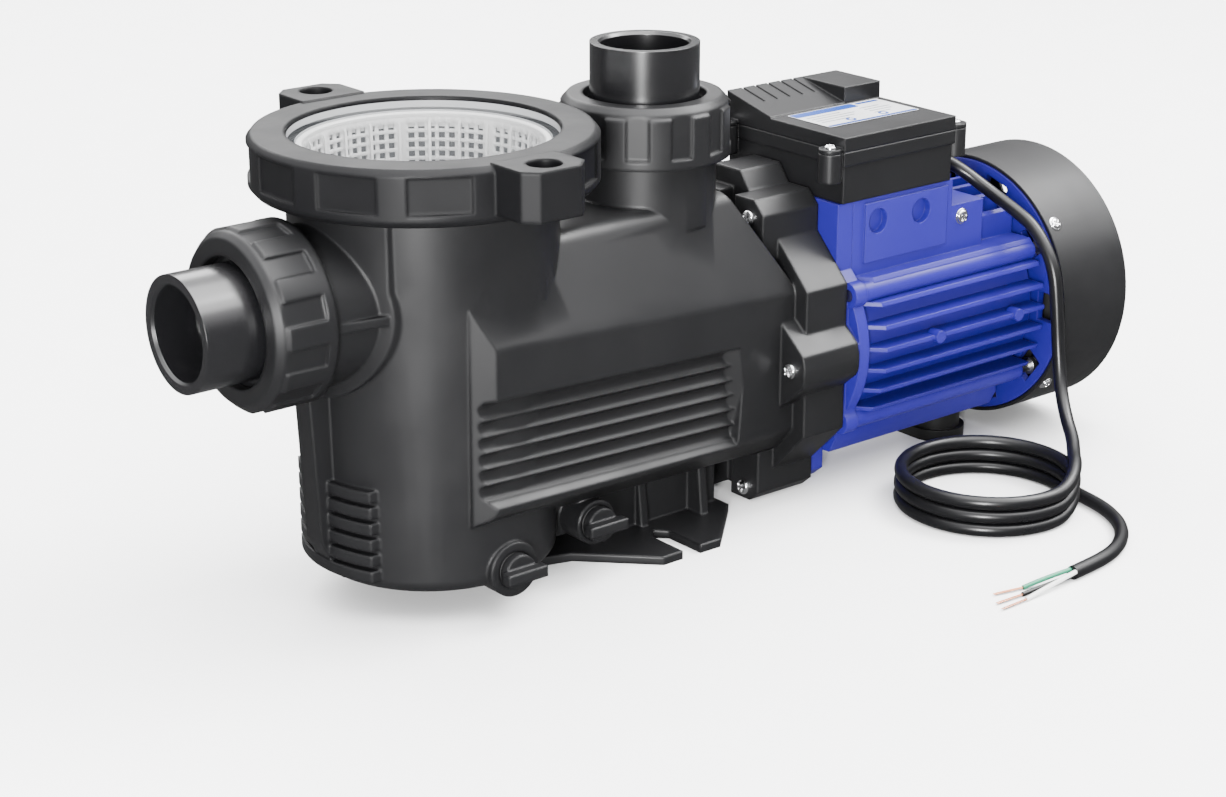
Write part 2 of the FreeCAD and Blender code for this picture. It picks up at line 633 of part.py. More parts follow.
LID_TOP = S.ring_top - 2.2
LID_SEAT = S.pot_rim + 1.7
lid_window = S.ring_opening - 0.8
finished(turned("lid", [
    (0, LID_TOP - 4), (66, LID_TOP - 4), (66, LID_SEAT), (S.lid_radius, LID_SEAT),
    (S.lid_radius, LID_SEAT + S.lid_edge), (lid_window, LID_SEAT + S.lid_edge),
    (lid_window, LID_TOP), (0, LID_TOP)], (POT_X, 0, 0)), "lid")

RIM = S.basket_ledge + 0.4
basket = turned("basket", [
    (0, S.basket_foot), (S.basket_foot_radius, S.basket_foot), (S.basket_radius - 0.5, RIM),
    (S.basket_rim_radius, RIM), (S.basket_rim_radius, RIM + 2.8),
    (S.basket_radius - S.basket_wall - 0.5, RIM + 2.8),
    (S.basket_foot_radius - S.basket_wall, S.basket_foot + S.basket_wall),
    (0, S.basket_foot + S.basket_wall)], (POT_X, 0, 0))
notches(basket, "basket_slots", [(50, -2.4), (70, -2.4), (70, 2.4), (50, 2.4)], 60, 168, 24)
finished(basket, "basket")


# ---- wet end: diffuser, impeller, shaft seal ---------------------------------------------------

def on_shaft(name, outline, start):
    """A ring or disc on the shaft line, drawn along the shaft from a distance behind the pot."""
    return turned(name, outline, (from_pot(start), 0, SHAFT), "x")


def around_shaft(blade, step, start):
    """Turns a blade about the shaft line to its place in a wheel that starts at a distance behind the pot."""
    turn = FreeCAD.Rotation(FreeCAD.Vector(1, 0, 0), step)
    centre = FreeCAD.Vector(0, 0, SIZES["shaft_height"])
    blade.Placement = FreeCAD.Placement(turn.multVec(blade.Placement.Base - centre) + centre, turn)
    blade.setExpression("Placement.Base.x", from_pot(start).text)
    return blade


RUN = S.shaft_radius
IMPELLER_START = 203.5
VANE_COUNT = 6
finished(on_shaft("diffuser", [(14, 0), (40, 0), (40, 27), (37.4, 27), (37.4, 3), (14, 3)],
                  S.diffuser_front), "diffuser")
vanes = []
for index in range(VANE_COUNT):
    vane = box(f"vane_{index}", (from_pot(IMPELLER_START), 9, SHAFT - 1.2),
               (from_pot(IMPELLER_START + 8.5), 35, SHAFT + 1.2))
    vanes.append(around_shaft(vane, 360 / VANE_COUNT * index, IMPELLER_START))
wheel = on_shaft("impeller_wheel", [
    (0, -1), (9, -1), (12, 2), (12, 8), (36, 8), (36, 11), (12, 13), (RUN, 13), (RUN, 0), (0, 0)],
    IMPELLER_START)
eye = on_shaft("impeller_eye_ring", [(17, 0), (36, 0), (36, 1.8), (17, 1.8)], 202.5)
wheel_bore = cylinder("wheel_bore", RUN, 20, (from_pot(IMPELLER_START), 0, SHAFT), "x")
finished(cut("impeller", fuse("impeller_blank", [wheel, eye] + vanes), [wheel_bore]), "impeller")
finished(on_shaft("seal_plate", [
    (10.5, 12), (16, 12), (16, 0), (49.6, 0), (49.6, 26), (10.5, 26)], 224), "seal_plate")
finished(on_shaft("seal_seat", [(8.2, 0), (15.9, 0), (15.9, 8), (8.2, 8)], 227.5), "seal_seat")
finished(on_shaft("seal_head", [(RUN, 0), (13, 0), (13, 10), (10.5, 10.4), (RUN, 10.4)], 216.7), "seal_head")


def pan_screw(name, radius, length, at, axis, head_radius=4.4, head_height=3.2):
    """A pan-head screw with a cross recess; it points along its axis with the head at the start."""
    x, y, z = at
    shank = cylinder(name + "_shank", radius, length, at, axis)
    sign = -1 if axis.startswith("-") else 1
    step = {"x": (1, 0, 0), "y": (0, 1, 0), "z": (0, 0, 1)}[axis[-1]]
    head_at = [size - sign * along * head_height for size, along in zip(at, step)]
    head = cone(name + "_head", head_radius - 1.2, head_radius, head_height, head_at, axis)
    recess = cylinder(name + "_recess", 0.9, head_height / 2, head_at, axis)
    return cut(name, fuse(name + "_blank", [shank, head]), [recess])


finished(group("casing_screws", [
    pan_screw(f"casing_screw_{index}", 2.5, 52, (from_pot(S.lug_front), y, z), "x")
    for index, (y, z) in enumerate(SCREWS)]), "casing_screws")


# ---- motor -------------------------------------------------------------------------------------

PEDESTAL_HALF = 47
BRACKET_FRONT = S.flange_rear + 0.2
BRACKET_LENGTH = S.frame_front - BRACKET_FRONT
bracket_plate = padded("bracket_plate", [
    (54, SHAFT - 41), (54, SHAFT + 41), (29, SHAFT + 66), (-29, SHAFT + 66),
    (-54, SHAFT + 41), (-54, SHAFT - 41), (-29, SHAFT - 66), (29, SHAFT - 66)],
    "YZ_Plane", BRACKET_LENGTH, (from_pot(BRACKET_FRONT), 0, 0))
bracket_spine = padded("bracket_spine", spine_outline(as_size(87), as_size(86), as_size(28)), "YZ_Plane",
                       BRACKET_LENGTH, (from_pot(BRACKET_FRONT), 0, 0))
bracket_ears = padded("bracket_ears", [
    (-64, SHAFT - 8), (-64, SHAFT + 8), (-50, SHAFT + 22), (50, SHAFT + 22),
    (64, SHAFT + 8), (64, SHAFT - 8), (50, SHAFT - 22), (-50, SHAFT - 22)],
    "YZ_Plane", 6, (from_pot(BRACKET_FRONT), 0, 0))
bracket_ring = on_shaft("bracket_ring", [(20, 0), (64.5, 0), (64.5, 7.8), (20, 7.8)], 254)
bracket_hub = on_shaft("bracket_hub", [(9.5, 0), (26, 0), (26, 12), (17.5, 12), (17.5, 2), (9.5, 2)], 260)
bracket_head = box("bracket_head", (from_pot(BRACKET_FRONT), -PEDESTAL_HALF, 131),
                   (from_pot(S.frame_front), PEDESTAL_HALF, 176.2))
TIE_HOLE = 3.7
TIES = [(side * across, SHAFT + up) for side in (-1, 1) for across, up in ((54, 34.8), (49.5, -43.2))]
tie_bosses = [cylinder(f"tie_boss_{index}", 7.5, 9, (from_pot(253), y, z), "x")
              for index, (y, z) in enumerate(TIES)]
bracket_holes = flange_holes("bracket_screw_hole", as_size(249), 10.8)
bracket_holes.append(cylinder("bracket_bore", 9.5, 13, (from_pot(250), 0, SHAFT), "x"))
bracket_holes += [cylinder(f"bracket_tie_hole_{index}", TIE_HOLE, 16, (from_pot(252), y, z), "x")
                  for index, (y, z) in enumerate(TIES)]
bracket_pieces = [bracket_plate, bracket_spine, bracket_ears, bracket_ring, bracket_hub, bracket_head]
finished(cut("motor_front_bracket", fuse("bracket_blank", bracket_pieces + tie_bosses), bracket_holes),
         "motor_front_bracket")

FIN_STARTS = [SHAFT + 41.3 - S.fin_thickness / 2 - S.fin_pitch * index for index in range(8)]
side_fins = [box(f"side_fin_{index}", (from_pot(S.frame_front), -72, start),
                 (from_pot(S.frame_rear), 72, start + S.fin_thickness))
             for index, start in enumerate(FIN_STARTS)]
top_fins = []
for index in range(7):
    fin_side = S.fin_pitch * (index - 3) - S.fin_thickness / 2
    top_fins.append(box(f"top_fin_{index}", (from_pot(344), fin_side, SHAFT + 30),
                        (from_pot(S.frame_rear), fin_side + S.fin_thickness, SHAFT + 72)))
fin_envelope = on_shaft("fin_envelope", [
    (0, 0), (61, 0), (S.fin_reach, 9), (S.fin_reach, S.frame_rear - S.frame_front - 1),
    (0, S.frame_rear - S.frame_front - 1)], S.frame_front)
fins = common("fins", [fuse("fin_blank", side_fins + top_fins), fin_envelope])
frame_barrel = on_shaft("frame_barrel", [(0, 0), (S.frame_radius, 0), (S.frame_radius, 142.6), (0, 142.6)],
                        S.frame_front + 0.2)
base_block = padded("base_block", [
    (-38, SHAFT - 48), (-38, SHAFT - 60), (-33, SHAFT - 69),
    (33, SHAFT - 69), (38, SHAFT - 60), (38, SHAFT - 48)],
    "YZ_Plane", 138, (from_pot(S.frame_front + 0.2), 0, 0))
pedestal = box("pedestal", (from_pot(S.frame_front + 0.2), -PEDESTAL_HALF, 120),
               (from_pot(343), PEDESTAL_HALF, 176.3))
pedestal_panel = box("pedestal_panel", (from_pot(271), -48.5, 138), (from_pot(338), -40, 173.5))
earth_boss = box("earth_boss", (from_pot(340), -PEDESTAL_HALF, 130), (from_pot(370), -20, 160))
hex_pads = [cylinder(f"hex_pad_{index}", 3.8, 8, (from_pot(x), -64, FIN_STARTS[3] + 1.3), "-y")
            for index, x in enumerate((313, 380))]
frame_bore = on_shaft("frame_bore", [(0, 0), (S.frame_bore, 0), (S.frame_bore, 145), (0, 145)],
                      S.frame_front - 1)
frame_tools = [frame_bore, cylinder("wire_passage", 12, 60, (from_pot(300), 0, 128)),
               cylinder("earth_hole", 2.2, 9, (from_pot(352), -39, 152), "-y")]
frame_tools += [cylinder(f"round_recess_{index}", 7.4, 5, (from_pot(x), -44, 162), "-y")
                for index, x in enumerate((281, 316))]
frame_tools += [cylinder(f"frame_tie_hole_{index}", TIE_HOLE, 146, (from_pot(261), y, z), "x")
                for index, (y, z) in enumerate(TIES)]
tie_channels = []
for index, (y, z) in enumerate(TIES):
    tie_channels.append(cylinder(f"tie_channel_{index}", 6, 142, (from_pot(S.frame_front + 0.5), y, z), "x"))
    inner, outer = sorted((y, y * 0.82))
    tie_channels.append(box(f"tie_web_{index}", (from_pot(S.frame_front + 0.5), inner, z - 3),
                            (from_pot(S.frame_rear - 0.5), outer, z + 3)))
frame_pieces = [fins, frame_barrel, base_block, pedestal, pedestal_panel, earth_boss]
finished(cut("motor_frame", fuse("frame_blank", frame_pieces + hex_pads + tie_channels), frame_tools),
         "motor_frame")

WINDING_START = 284
finished(on_shaft("stator", [
    (S.stator_bore, 12), (34, 12), (34, 0), (48, 0), (48, 12), (S.frame_bore - 0.1, 12),
    (S.frame_bore - 0.1, 88), (48, 88), (48, 100), (34, 100), (34, 88), (S.stator_bore, 88)],
    WINDING_START), "stator")
finished(on_shaft("rotor", [(RUN, 12), (S.rotor_radius, 12), (S.rotor_radius, 88), (RUN, 88)],
                  WINDING_START), "rotor")
finished(on_shaft("motor_shaft", [(0, 0), (RUN, 0), (RUN, 236), (RUN - 1, 237), (0, 237)],
                  IMPELLER_START), "motor_shaft")
for name, start in (("front_bearing", 262.2), ("rear_bearing", 409)):
    finished(on_shaft(name, [(RUN + 0.05, 0), (17.4, 0), (17.4, 9.5), (RUN + 0.05, 9.5)], start), name)
finished(on_shaft("water_slinger", [(RUN, 0), (8.8, 0), (8.8, 3), (RUN, 3)], 238.5), "water_slinger")

rear_shield = on_shaft("rear_shield_turned", [
    (9, 11), (17.5, 11), (17.5, 0), (26, 0), (26, 4), (77, 0), (79.6, 0),
    (79.6, 14), (76, 14), (76, 5), (26, 9), (26, 13), (9, 13)], 408)
notches(rear_shield, "shield_windows", [(60, -9), (74, -9), (74, 9), (60, 9)], -1, 12, 10, 18)
ties_through = [cylinder(f"shield_tie_hole_{index}", TIE_HOLE, 30, (from_pot(400), y, z), "x")
                for index, (y, z) in enumerate(TIES)]
COVER_SCREW_ANGLES = [math.radians(angle) for angle in (38.4, 141.6, 218.4, 321.6)]
COVER_SCREW_CENTRE = FreeCAD.Vector(from_pot(416).value, 0, SIZES["shaft_height"])


def across_shaft(angle):
    """The direction square to the shaft at an angle from +Y towards +Z."""
    return FreeCAD.Vector(0, math.cos(angle), math.sin(angle))


def cover_screw(angle):
    """A screw driven inwards through the fan cover, square to its wall."""
    head_height = 2.2
    inwards = across_shaft(angle) * -1
    at = COVER_SCREW_CENTRE - inwards * (SIZES["cover_radius"] + head_height)
    head = Part.makeCone(2.6, 3.8, head_height, at, inwards)
    shank = Part.makeCylinder(1.9, 6, at, inwards)
    recess = Part.makeCylinder(0.8, 1.2, at, inwards)
    return head.fuse(shank).cut(recess)


def cover_screw_tunnel(angle):
    outwards = across_shaft(angle)
    return Part.makeCylinder(2, 20, COVER_SCREW_CENTRE + outwards * 70, outwards)


screw_tunnels = shaped("screw_tunnels", Part.makeCompound(
    [cover_screw_tunnel(angle) for angle in COVER_SCREW_ANGLES]))
finished(cut("motor_rear_shield", rear_shield, ties_through + [screw_tunnels]), "motor_rear_shield")
finished(shaped("fan_cover_screws", Part.makeCompound([cover_screw(angle) for angle in COVER_SCREW_ANGLES])),
         "fan_cover_screws")

tie_rods = []
for index, (y, z) in enumerate(TIES):
    rod = cylinder(f"tie_rod_{index}", 3.5, 157, (from_pot(253.5), y, z), "x")
    head = cylinder(f"tie_head_{index}", 5.5, 4, (from_pot(414.6), y, z), "x")
    shank = cylinder(f"tie_shank_{index}", 3.5, 6, (from_pot(409.5), y, z), "x")
    tie_rods.append(fuse(f"tie_bolt_{index}", [rod, shank, head]))
finished(group("tie_bolts", tie_rods), "tie_bolts")

FAN_START = 430
BLADE_COUNT = 7
blades = []
for index in range(BLADE_COUNT):
    blade = box(f"fan_blade_{index}", (from_pot(FAN_START), 9, SHAFT - 1),
                (from_pot(FAN_START + 16), 62, SHAFT + 1))
    blades.append(around_shaft(blade, 360 / BLADE_COUNT * index, FAN_START))
fan_hub = on_shaft("fan_hub", [(RUN - 1, 12), (14, 12), (14, 0), (RUN, 0), (RUN, 8), (RUN - 1, 9)],
                   FAN_START)
fan_disc = on_shaft("fan_disc", [(10, 0), (58, 0), (58, 2), (10, 2)], 428.5)
fan_bore = cylinder("fan_bore", RUN + 0.02, 30, (from_pot(425), 0, SHAFT), "x")
finished(cut("cooling_fan", fuse("fan_blank", [fan_hub, fan_disc] + blades), [fan_bore]), "cooling_fan")

COVER_LENGTH = FAN_END_X - from_pot(S.cover_front)
INSIDE = S.cover_radius - S.cover_wall
cover = turned("cover_turned", [
    (INSIDE, 0), (S.cover_radius, 0), (S.cover_radius, COVER_LENGTH - 6), (S.cover_radius - 6, COVER_LENGTH),
    (0, COVER_LENGTH), (0, COVER_LENGTH - S.cover_wall), (INSIDE - 5, COVER_LENGTH - S.cover_wall),
    (INSIDE, COVER_LENGTH - S.cover_wall - 5)], (from_pot(S.cover_front), 0, SHAFT), "x")
notches(cover, "cover_slots", [(22, -2.2), (66, -2.2), (66, 2.2), (22, 2.2)], COVER_LENGTH - 4, 8, 24)
finished(cut("fan_cover", cover, [screw_tunnels]), "fan_cover")

earth_screw_at = (from_pot(352), as_size(-PEDESTAL_HALF), as_size(152))
finished(pan_screw("earth_screw", 2, 8, earth_screw_at, "y", 4.2, 2.4), "earth_screw")

pad_parts = []
for name, radius, low, high in (("sole", 17.5, 0, 7), ("block", 14.5, 7, SHAFT - 69)):
    ends = [cylinder(f"pad_{name}_{side}", radius, as_size(high) - low, (from_pot(375), side * 12, low))
            for side in (-1, 1)]
    middle = box(f"pad_{name}_middle", (from_pot(375 - radius), -12, low), (from_pot(375 + radius), 12, high))
    pad_parts += ends + [middle]
finished(fuse("motor_foot_pad", pad_parts), "motor_foot_pad")


# ---- mounting foot under the casing ------------------------------------------------------------

SLOT_FROM = 120.7
foot_half = [(53, 24.6), (71.2, 29.8), (107.2, S.foot_half_width), (SLOT_FROM, S.foot_half_width),
             (SLOT_FROM, 39), (SLOT_FROM + S.slot_width / 2, 32.5), (SLOT_FROM + S.slot_width, 39),
             (SLOT_FROM + S.slot_width, S.foot_half_width), (148.2, S.foot_half_width), (186, 30)]
foot_outline = [(x, -as_size(y)) for x, y in foot_half] + [(x, y) for x, y in reversed(foot_half)]
foot_plate = padded("foot_plate", foot_outline, "XY_Plane", S.foot_plate, (POT_X, 0, 0))
gussets = [padded(f"gusset_{index}", [
    (-reach, 4), (reach, 4), (reach - 4, 42), (-reach + 4, 42)], "YZ_Plane", 5.5, (from_pot(x), 0, 0))
    for index, (x, reach) in enumerate(((88, 26), (124, 26), (162.5, 33)))]
gusset_webs = [box(f"gusset_web_{side}", (from_pot(88), side * 18 - 2.5, 4),
                   (from_pot(183), side * 18 + 2.5, 44)) for side in (-1, 1)]
foot_room = [tank_outside,
             box("sump_room", (from_pot(53.7), -37, 20.8), (from_pot(86.3), 37, 56)),
             box("flange_room", (from_pot(S.flange_front - 0.3), -40, -1), (from_pot(252), 40, 60)),
             box("lug_room", (from_pot(S.lug_front - 0.3), -40, -1), (from_pot(252), 40, 34))]
finished(cut("mounting_foot", fuse("foot_blank", [foot_plate] + gussets + gusset_webs), foot_room),
         "mounting_foot")


# ---- terminal box ------------------------------------------------------------------------------

HALF = S.box_half_width
COVER_BOTTOM = S.box_parting + 0.2
COVER_EAR_TOP = S.box_parting + 2.6
POSTS = [(x, side * S.post_side) for x in (S.post_front, S.post_rear) for side in (-1, 1)]


def post(name, low, high, radius=6.6):
    return [cylinder(f"{name}_{index}", radius, as_size(high) - low, (from_pot(x), y, low))
            for index, (x, y) in enumerate(POSTS)]


def post_webs(name, low, high, half_width):
    """Ribs from the screw posts to the box's end walls."""
    spans = ((S.post_front, S.box_front + 1.5), (S.box_rear - 1.5, S.post_rear))
    return [box(f"{name}_{index}", (from_pot(spans[index // 2][0]), y - half_width, low),
                (from_pot(spans[index // 2][1]), y + half_width, high))
            for index, (_, y) in enumerate(POSTS)]


tray = box("tray", (from_pot(S.box_front + 1.2), 1.4 - HALF, S.box_bottom),
           (from_pot(S.box_rear - 1.2), HALF - 1.4, S.box_parting))
tray_lip = box("tray_lip", (from_pot(S.box_front), -HALF, S.box_parting - 8),
               (from_pot(S.box_rear), HALF, S.box_parting))
POST_BOTTOM = 190
tray_space = box("tray_space", (from_pot(S.box_front + 3.7), 3.9 - HALF, S.box_bottom + 2.5),
                 (from_pot(S.box_rear - 3.7), HALF - 3.9, S.box_parting + 1))
wire_hole = cylinder("wire_hole", 10, 8, (from_pot(300), 0, S.box_bottom - 2))
gland_hole = cylinder("gland_hole", 4.6, 8, (from_pot(334), -5, 184), "x")
post_holes = post("post_hole", S.box_parting - 14, S.box_parting + 1, 1.9)
posts = post("post", POST_BOTTOM, S.box_parting) + post_webs("post_web", POST_BOTTOM, S.box_parting, 3)
finished(cut("junction_box", fuse("box_blank", [tray, tray_lip] + posts),
             [tray_space, wire_hole, gland_hole] + post_holes), "junction_box")

slab = box("slab", (from_pot(S.box_front), -HALF, COVER_BOTTOM), (from_pot(S.box_rear), HALF, S.box_top))
raised = box("raised", (from_pot(310), 12, COVER_BOTTOM), (from_pot(339), HALF, S.box_raised))
ramp = padded("ramp", [
    (12, COVER_BOTTOM), (HALF, COVER_BOTTOM), (HALF, S.box_raised), (12, S.box_top + 1)],
    "YZ_Plane", 59, (from_pot(S.box_front), 0, 0))
slab_space = box("slab_space", (from_pot(S.box_front + 2.5), 2.5 - HALF, S.box_parting),
                 (from_pot(S.box_rear - 2.5), HALF - 2.5, S.box_top - 2.5))
raised_space = box("raised_space", (from_pot(S.box_front + 2.5), 16, S.box_parting),
                   (from_pot(336), HALF - 2.5, S.box_top - 0.8))
cover_ears = (post("cover_ear", COVER_BOTTOM, COVER_EAR_TOP)
              + post_webs("cover_web", COVER_BOTTOM, COVER_EAR_TOP, 4))
grooves = [box(f"cover_groove_{index}", (from_pot(262 + 10 * index), 30, S.box_top + 3),
               (from_pot(263.6 + 10 * index), HALF + 1, S.box_raised + 2)) for index in range(5)]
groove_floor = padded("groove_floor", [
    (12, S.box_parting), (HALF + 2, S.box_parting), (HALF + 2, S.box_raised - 0.8), (12, S.box_top - 0.2)],
    "YZ_Plane", 59, (from_pot(S.box_front), 0, 0))
groove_cutters = cut("groove_cutters", fuse("groove_bars", grooves), [groove_floor])
cover_holes = post("cover_hole", S.box_parting - 1, S.box_parting + 5, 2.2)
finished(cut("junction_box_cover", fuse("cover_blank", [slab, raised, ramp] + cover_ears),
             [slab_space, raised_space, groove_cutters] + cover_holes), "junction_box_cover")
finished(group("box_cover_screws", [
    pan_screw(f"box_screw_{index}", 1.8, 12, (from_pot(x), y, COVER_EAR_TOP), "-z", 3.6, 2)
    for index, (x, y) in enumerate(POSTS)]), "box_cover_screws")
finished(box("rating_plate", (from_pot(262), -26.5, S.box_top), (from_pot(334), 10, S.box_top + 0.3)),
         "rating_plate")
finished(cylinder("capacitor", 14, 70, (from_pot(258), 30, S.box_bottom + 17), "x"), "capacitor")
terminal_blank = box("terminal_blank", (from_pot(296), -34, S.box_bottom + 2.5), (from_pot(328), -14, 192))
terminal_cuts = [box(f"terminal_cut_{index}", (from_pot(299 + 9 * index), -31, 184),
                     (from_pot(305 + 9 * index), -17, 193)) for index in range(3)]
finished(cut("terminal_block", terminal_blank, terminal_cuts), "terminal_block")


# ---- supply cord -------------------------------------------------------------------------------

GLAND_BORE = S.cord_radius + 0.02
finished(turned("gland_turned", [
    (GLAND_BORE, -8), (4.5, -8), (4.5, 0), (7, 0), (7, 4), (5.2, 10), (GLAND_BORE, 10)],
    (from_pot(S.box_rear - 1.2), -5, 184), "x"), "cable_gland")

CORD_DROP = [(334, -5, 184), (358, -5, 184), (380, -13.5, 172.5), (390, -33, 158.5), (390, -54, 151),
             (390, -72, 143.5), (388.5, -89.5, 124), (388, -94, 98), (387.5, -97.5, 72),
             (383.5, -104.5, 51.5), (375, -117, 36.5), (366, -131, 27), (354.5, -141, 21.5)]
CORD_TAIL = [(357, -145, 4), (353.5, -165, 4), (345, -185, 4), (330, -202, 4), (310.5, -213.5, 4),
             (289, -218.5, 4), (267, -220, 4)]
COIL_AT = (311.4, -114.5)
TURN_COUNT = 3


def from_pot_points(points):
    return [(from_pot(x).value, y, z) for x, y, z in points]


def swept(name, points, radius):
    return finished(tube(name, from_pot_points(points), radius), name)


swept("cord_drop", CORD_DROP, SIZES["cord_radius"])
swept("cord_tail", CORD_TAIL, SIZES["cord_radius"])
coil_inside, coil_outside = S.coil_radius - S.cord_radius, S.coil_radius + S.cord_radius
coil_height = S.cord_radius * 2 * TURN_COUNT
finished(turned("cord_coil", [
    (coil_inside, 0), (coil_outside, 0), (coil_outside, coil_height), (coil_inside, coil_height)],
    (from_pot(COIL_AT[0]), COIL_AT[1], 0)), "cord_coil")

CORE_RADIUS = 1.3
BARE_LENGTH = 20
CORES = {"core_green": [(267, -218.2, 5.6), (250, -215.5, 3.6), (236, -212.5, CORE_RADIUS)],
         "core_black": [(267, -220.2, 2.2), (249, -219.5, 1.9), (229, -218.5, CORE_RADIUS)],
         "core_white": [(267, -221.8, 5.4), (246, -223.5, 3.4), (226, -224, CORE_RADIUS)]}
copper = []
for name, points in CORES.items():
    swept(name, points, CORE_RADIUS)
    start, end = [FreeCAD.Vector(*point) for point in from_pot_points(points[1:])]
    flat = FreeCAD.Vector(end.x - start.x, end.y - start.y, 0)
    copper.append(Part.makeCylinder(0.6, BARE_LENGTH, end, flat.normalize()))
finished(shaped("copper_ends", Part.makeCompound(copper)), "copper_ends")


# ---- check and export --------------------------------------------------------------------------

doc.recompute()
for thing in doc.Objects:
    if "Invalid" in thing.State or "Error" in thing.State:
        raise RuntimeError(f"{thing.Name} failed: {thing.State}")
os.makedirs("parts", exist_ok=True)
for piece in subparts:
    shape = piece.Shape
    if shape.isNull() or not shape.isValid():
        raise RuntimeError(f"{piece.Label} has no valid shape")
    shape.exportStep(f"parts/{piece.Label}.step")
print(len(subparts), "sub-parts")
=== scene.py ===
"""Looks of the pool pump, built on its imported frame.

The pieces are drawn in millimetres, with x counted from the axis of the strainer pot, until `placed`
turns a point into metres in the frame. Camera, lights, finishes, floor and CAD meshes are in metres.
"""
import json
import math

import bmesh
import bpy
from mathutils import Matrix, Vector


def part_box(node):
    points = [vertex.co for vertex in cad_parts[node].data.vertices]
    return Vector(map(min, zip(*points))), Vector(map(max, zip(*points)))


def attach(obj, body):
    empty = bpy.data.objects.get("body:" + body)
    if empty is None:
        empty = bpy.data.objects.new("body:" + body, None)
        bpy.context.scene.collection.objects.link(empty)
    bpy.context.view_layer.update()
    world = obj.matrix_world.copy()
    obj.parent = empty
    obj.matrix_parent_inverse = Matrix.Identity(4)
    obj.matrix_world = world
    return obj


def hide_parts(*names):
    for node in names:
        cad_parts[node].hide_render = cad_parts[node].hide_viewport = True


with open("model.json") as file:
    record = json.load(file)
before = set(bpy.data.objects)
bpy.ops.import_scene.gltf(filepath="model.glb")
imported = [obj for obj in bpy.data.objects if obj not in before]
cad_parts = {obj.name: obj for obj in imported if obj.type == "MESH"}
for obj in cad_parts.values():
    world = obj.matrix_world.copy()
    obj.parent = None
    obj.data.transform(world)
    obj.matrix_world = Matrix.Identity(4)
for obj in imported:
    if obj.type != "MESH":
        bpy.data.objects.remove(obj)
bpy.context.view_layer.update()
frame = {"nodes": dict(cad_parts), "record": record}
NODES = frame["nodes"]
BODY_OF = {node: body for body, nodes in frame["record"]["behaviour"]["bodies"].items()
           for node in nodes}
SLOT_OF = {part["node"]: part["material_slot"] for part in frame["record"]["subparts"]}

MM = 0.001
POT_X = (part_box("lid")[0].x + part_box("lid")[1].x) / 2


def placed(point):
    x, y, z = point
    return Vector((POT_X + x * MM, y * MM, z * MM))


# ---- camera and lights -------------------------------------------------------------------------

CAMERA_AT = (-0.8764, -1.0399, 0.5525)
LOOKS_DOWN = math.radians(19.65)
LOOKS_RIGHT = math.radians(38.92)


def linked(name, data):
    """A new object of the scene around a mesh, curve, camera or light."""
    thing = bpy.data.objects.new(name, data)
    bpy.context.scene.collection.objects.link(thing)
    return thing


camera_data = bpy.data.cameras.new("camera")
camera_data.lens = 73.98
camera_data.sensor_width = 36
camera_data.clip_start = 0.01
camera = linked("camera", camera_data)
camera.location = CAMERA_AT
camera.rotation_euler = (math.pi / 2 - LOOKS_DOWN, 0, -LOOKS_RIGHT)
bpy.context.scene.camera = camera

AIM = Vector((0, 0, 0.1))


def softbox(name, azimuth, elevation, distance, size, power):
    """An area light that looks at the pump; azimuth 0 is straight in front of its long side."""
    across, up = math.radians(azimuth), math.radians(elevation)
    back = Vector((math.sin(across) * math.cos(up), -math.cos(across) * math.cos(up), math.sin(up)))
    data = bpy.data.lights.new(name, "AREA")
    data.shape = "RECTANGLE"
    data.size, data.size_y = size
    data.energy = power
    light = linked(name, data)
    light.location = AIM + back * distance
    light.rotation_euler = back.to_track_quat("Z", "Y").to_euler()


softbox("left_strip", -46, 9, 2.2, (0.28, 0.75), 130)
softbox("slope_box", 75, 52, 2.2, (1.0, 0.9), 70)
softbox("right_box", 62, 30, 2.3, (0.8, 1.0), 14)
softbox("back_rim", 165, 35, 2.2, (1.8, 0.8), 40)

sky = bpy.data.lights.new("sky", "SUN")
sky.energy = 7
sky.angle = math.radians(70)
linked("sky", sky).rotation_euler = (math.radians(12), math.radians(8), 0)


def studio_world(low, high, wall_top, ceiling):
    """A dark room under a bright ceiling: the strength rises between two heights of the direction."""
    world = bpy.data.worlds.new("studio")
    world.use_nodes = True
    tree = world.node_tree
    background = tree.nodes["Background"]
    background.inputs["Color"].default_value = (0.99, 0.99, 1.0, 1)
    direction = tree.nodes.new("ShaderNodeTexCoord")
    split = tree.nodes.new("ShaderNodeSeparateXYZ")
    rise = tree.nodes.new("ShaderNodeMapRange")
    rise.interpolation_type = "SMOOTHSTEP"
    rise.inputs["From Min"].default_value = wall_top
    rise.inputs["From Max"].default_value = ceiling
    rise.inputs["To Min"].default_value = low
    rise.inputs["To Max"].default_value = high
    tree.links.new(direction.outputs["Generated"], split.inputs["Vector"])
    tree.links.new(split.outputs["Z"], rise.inputs["Value"])
    tree.links.new(rise.outputs["Result"], background.inputs["Strength"])
    bpy.context.scene.world = world


studio_world(low=0.25, high=4.5, wall_top=0.15, ceiling=0.95)


# ---- materials ---------------------------------------------------------------------------------

DRIFT_SCALE = 28
DRIFT_DETAIL = 5
GRAIN_DETAIL = 2
GRAIN_DEPTH = 0.0002
SMALLEST_ROUGHNESS = 0.02
EDGE_SAMPLES = 6


def scaled(colour, factor):
    return [min(channel * factor, 1) for channel in colour] + [1]


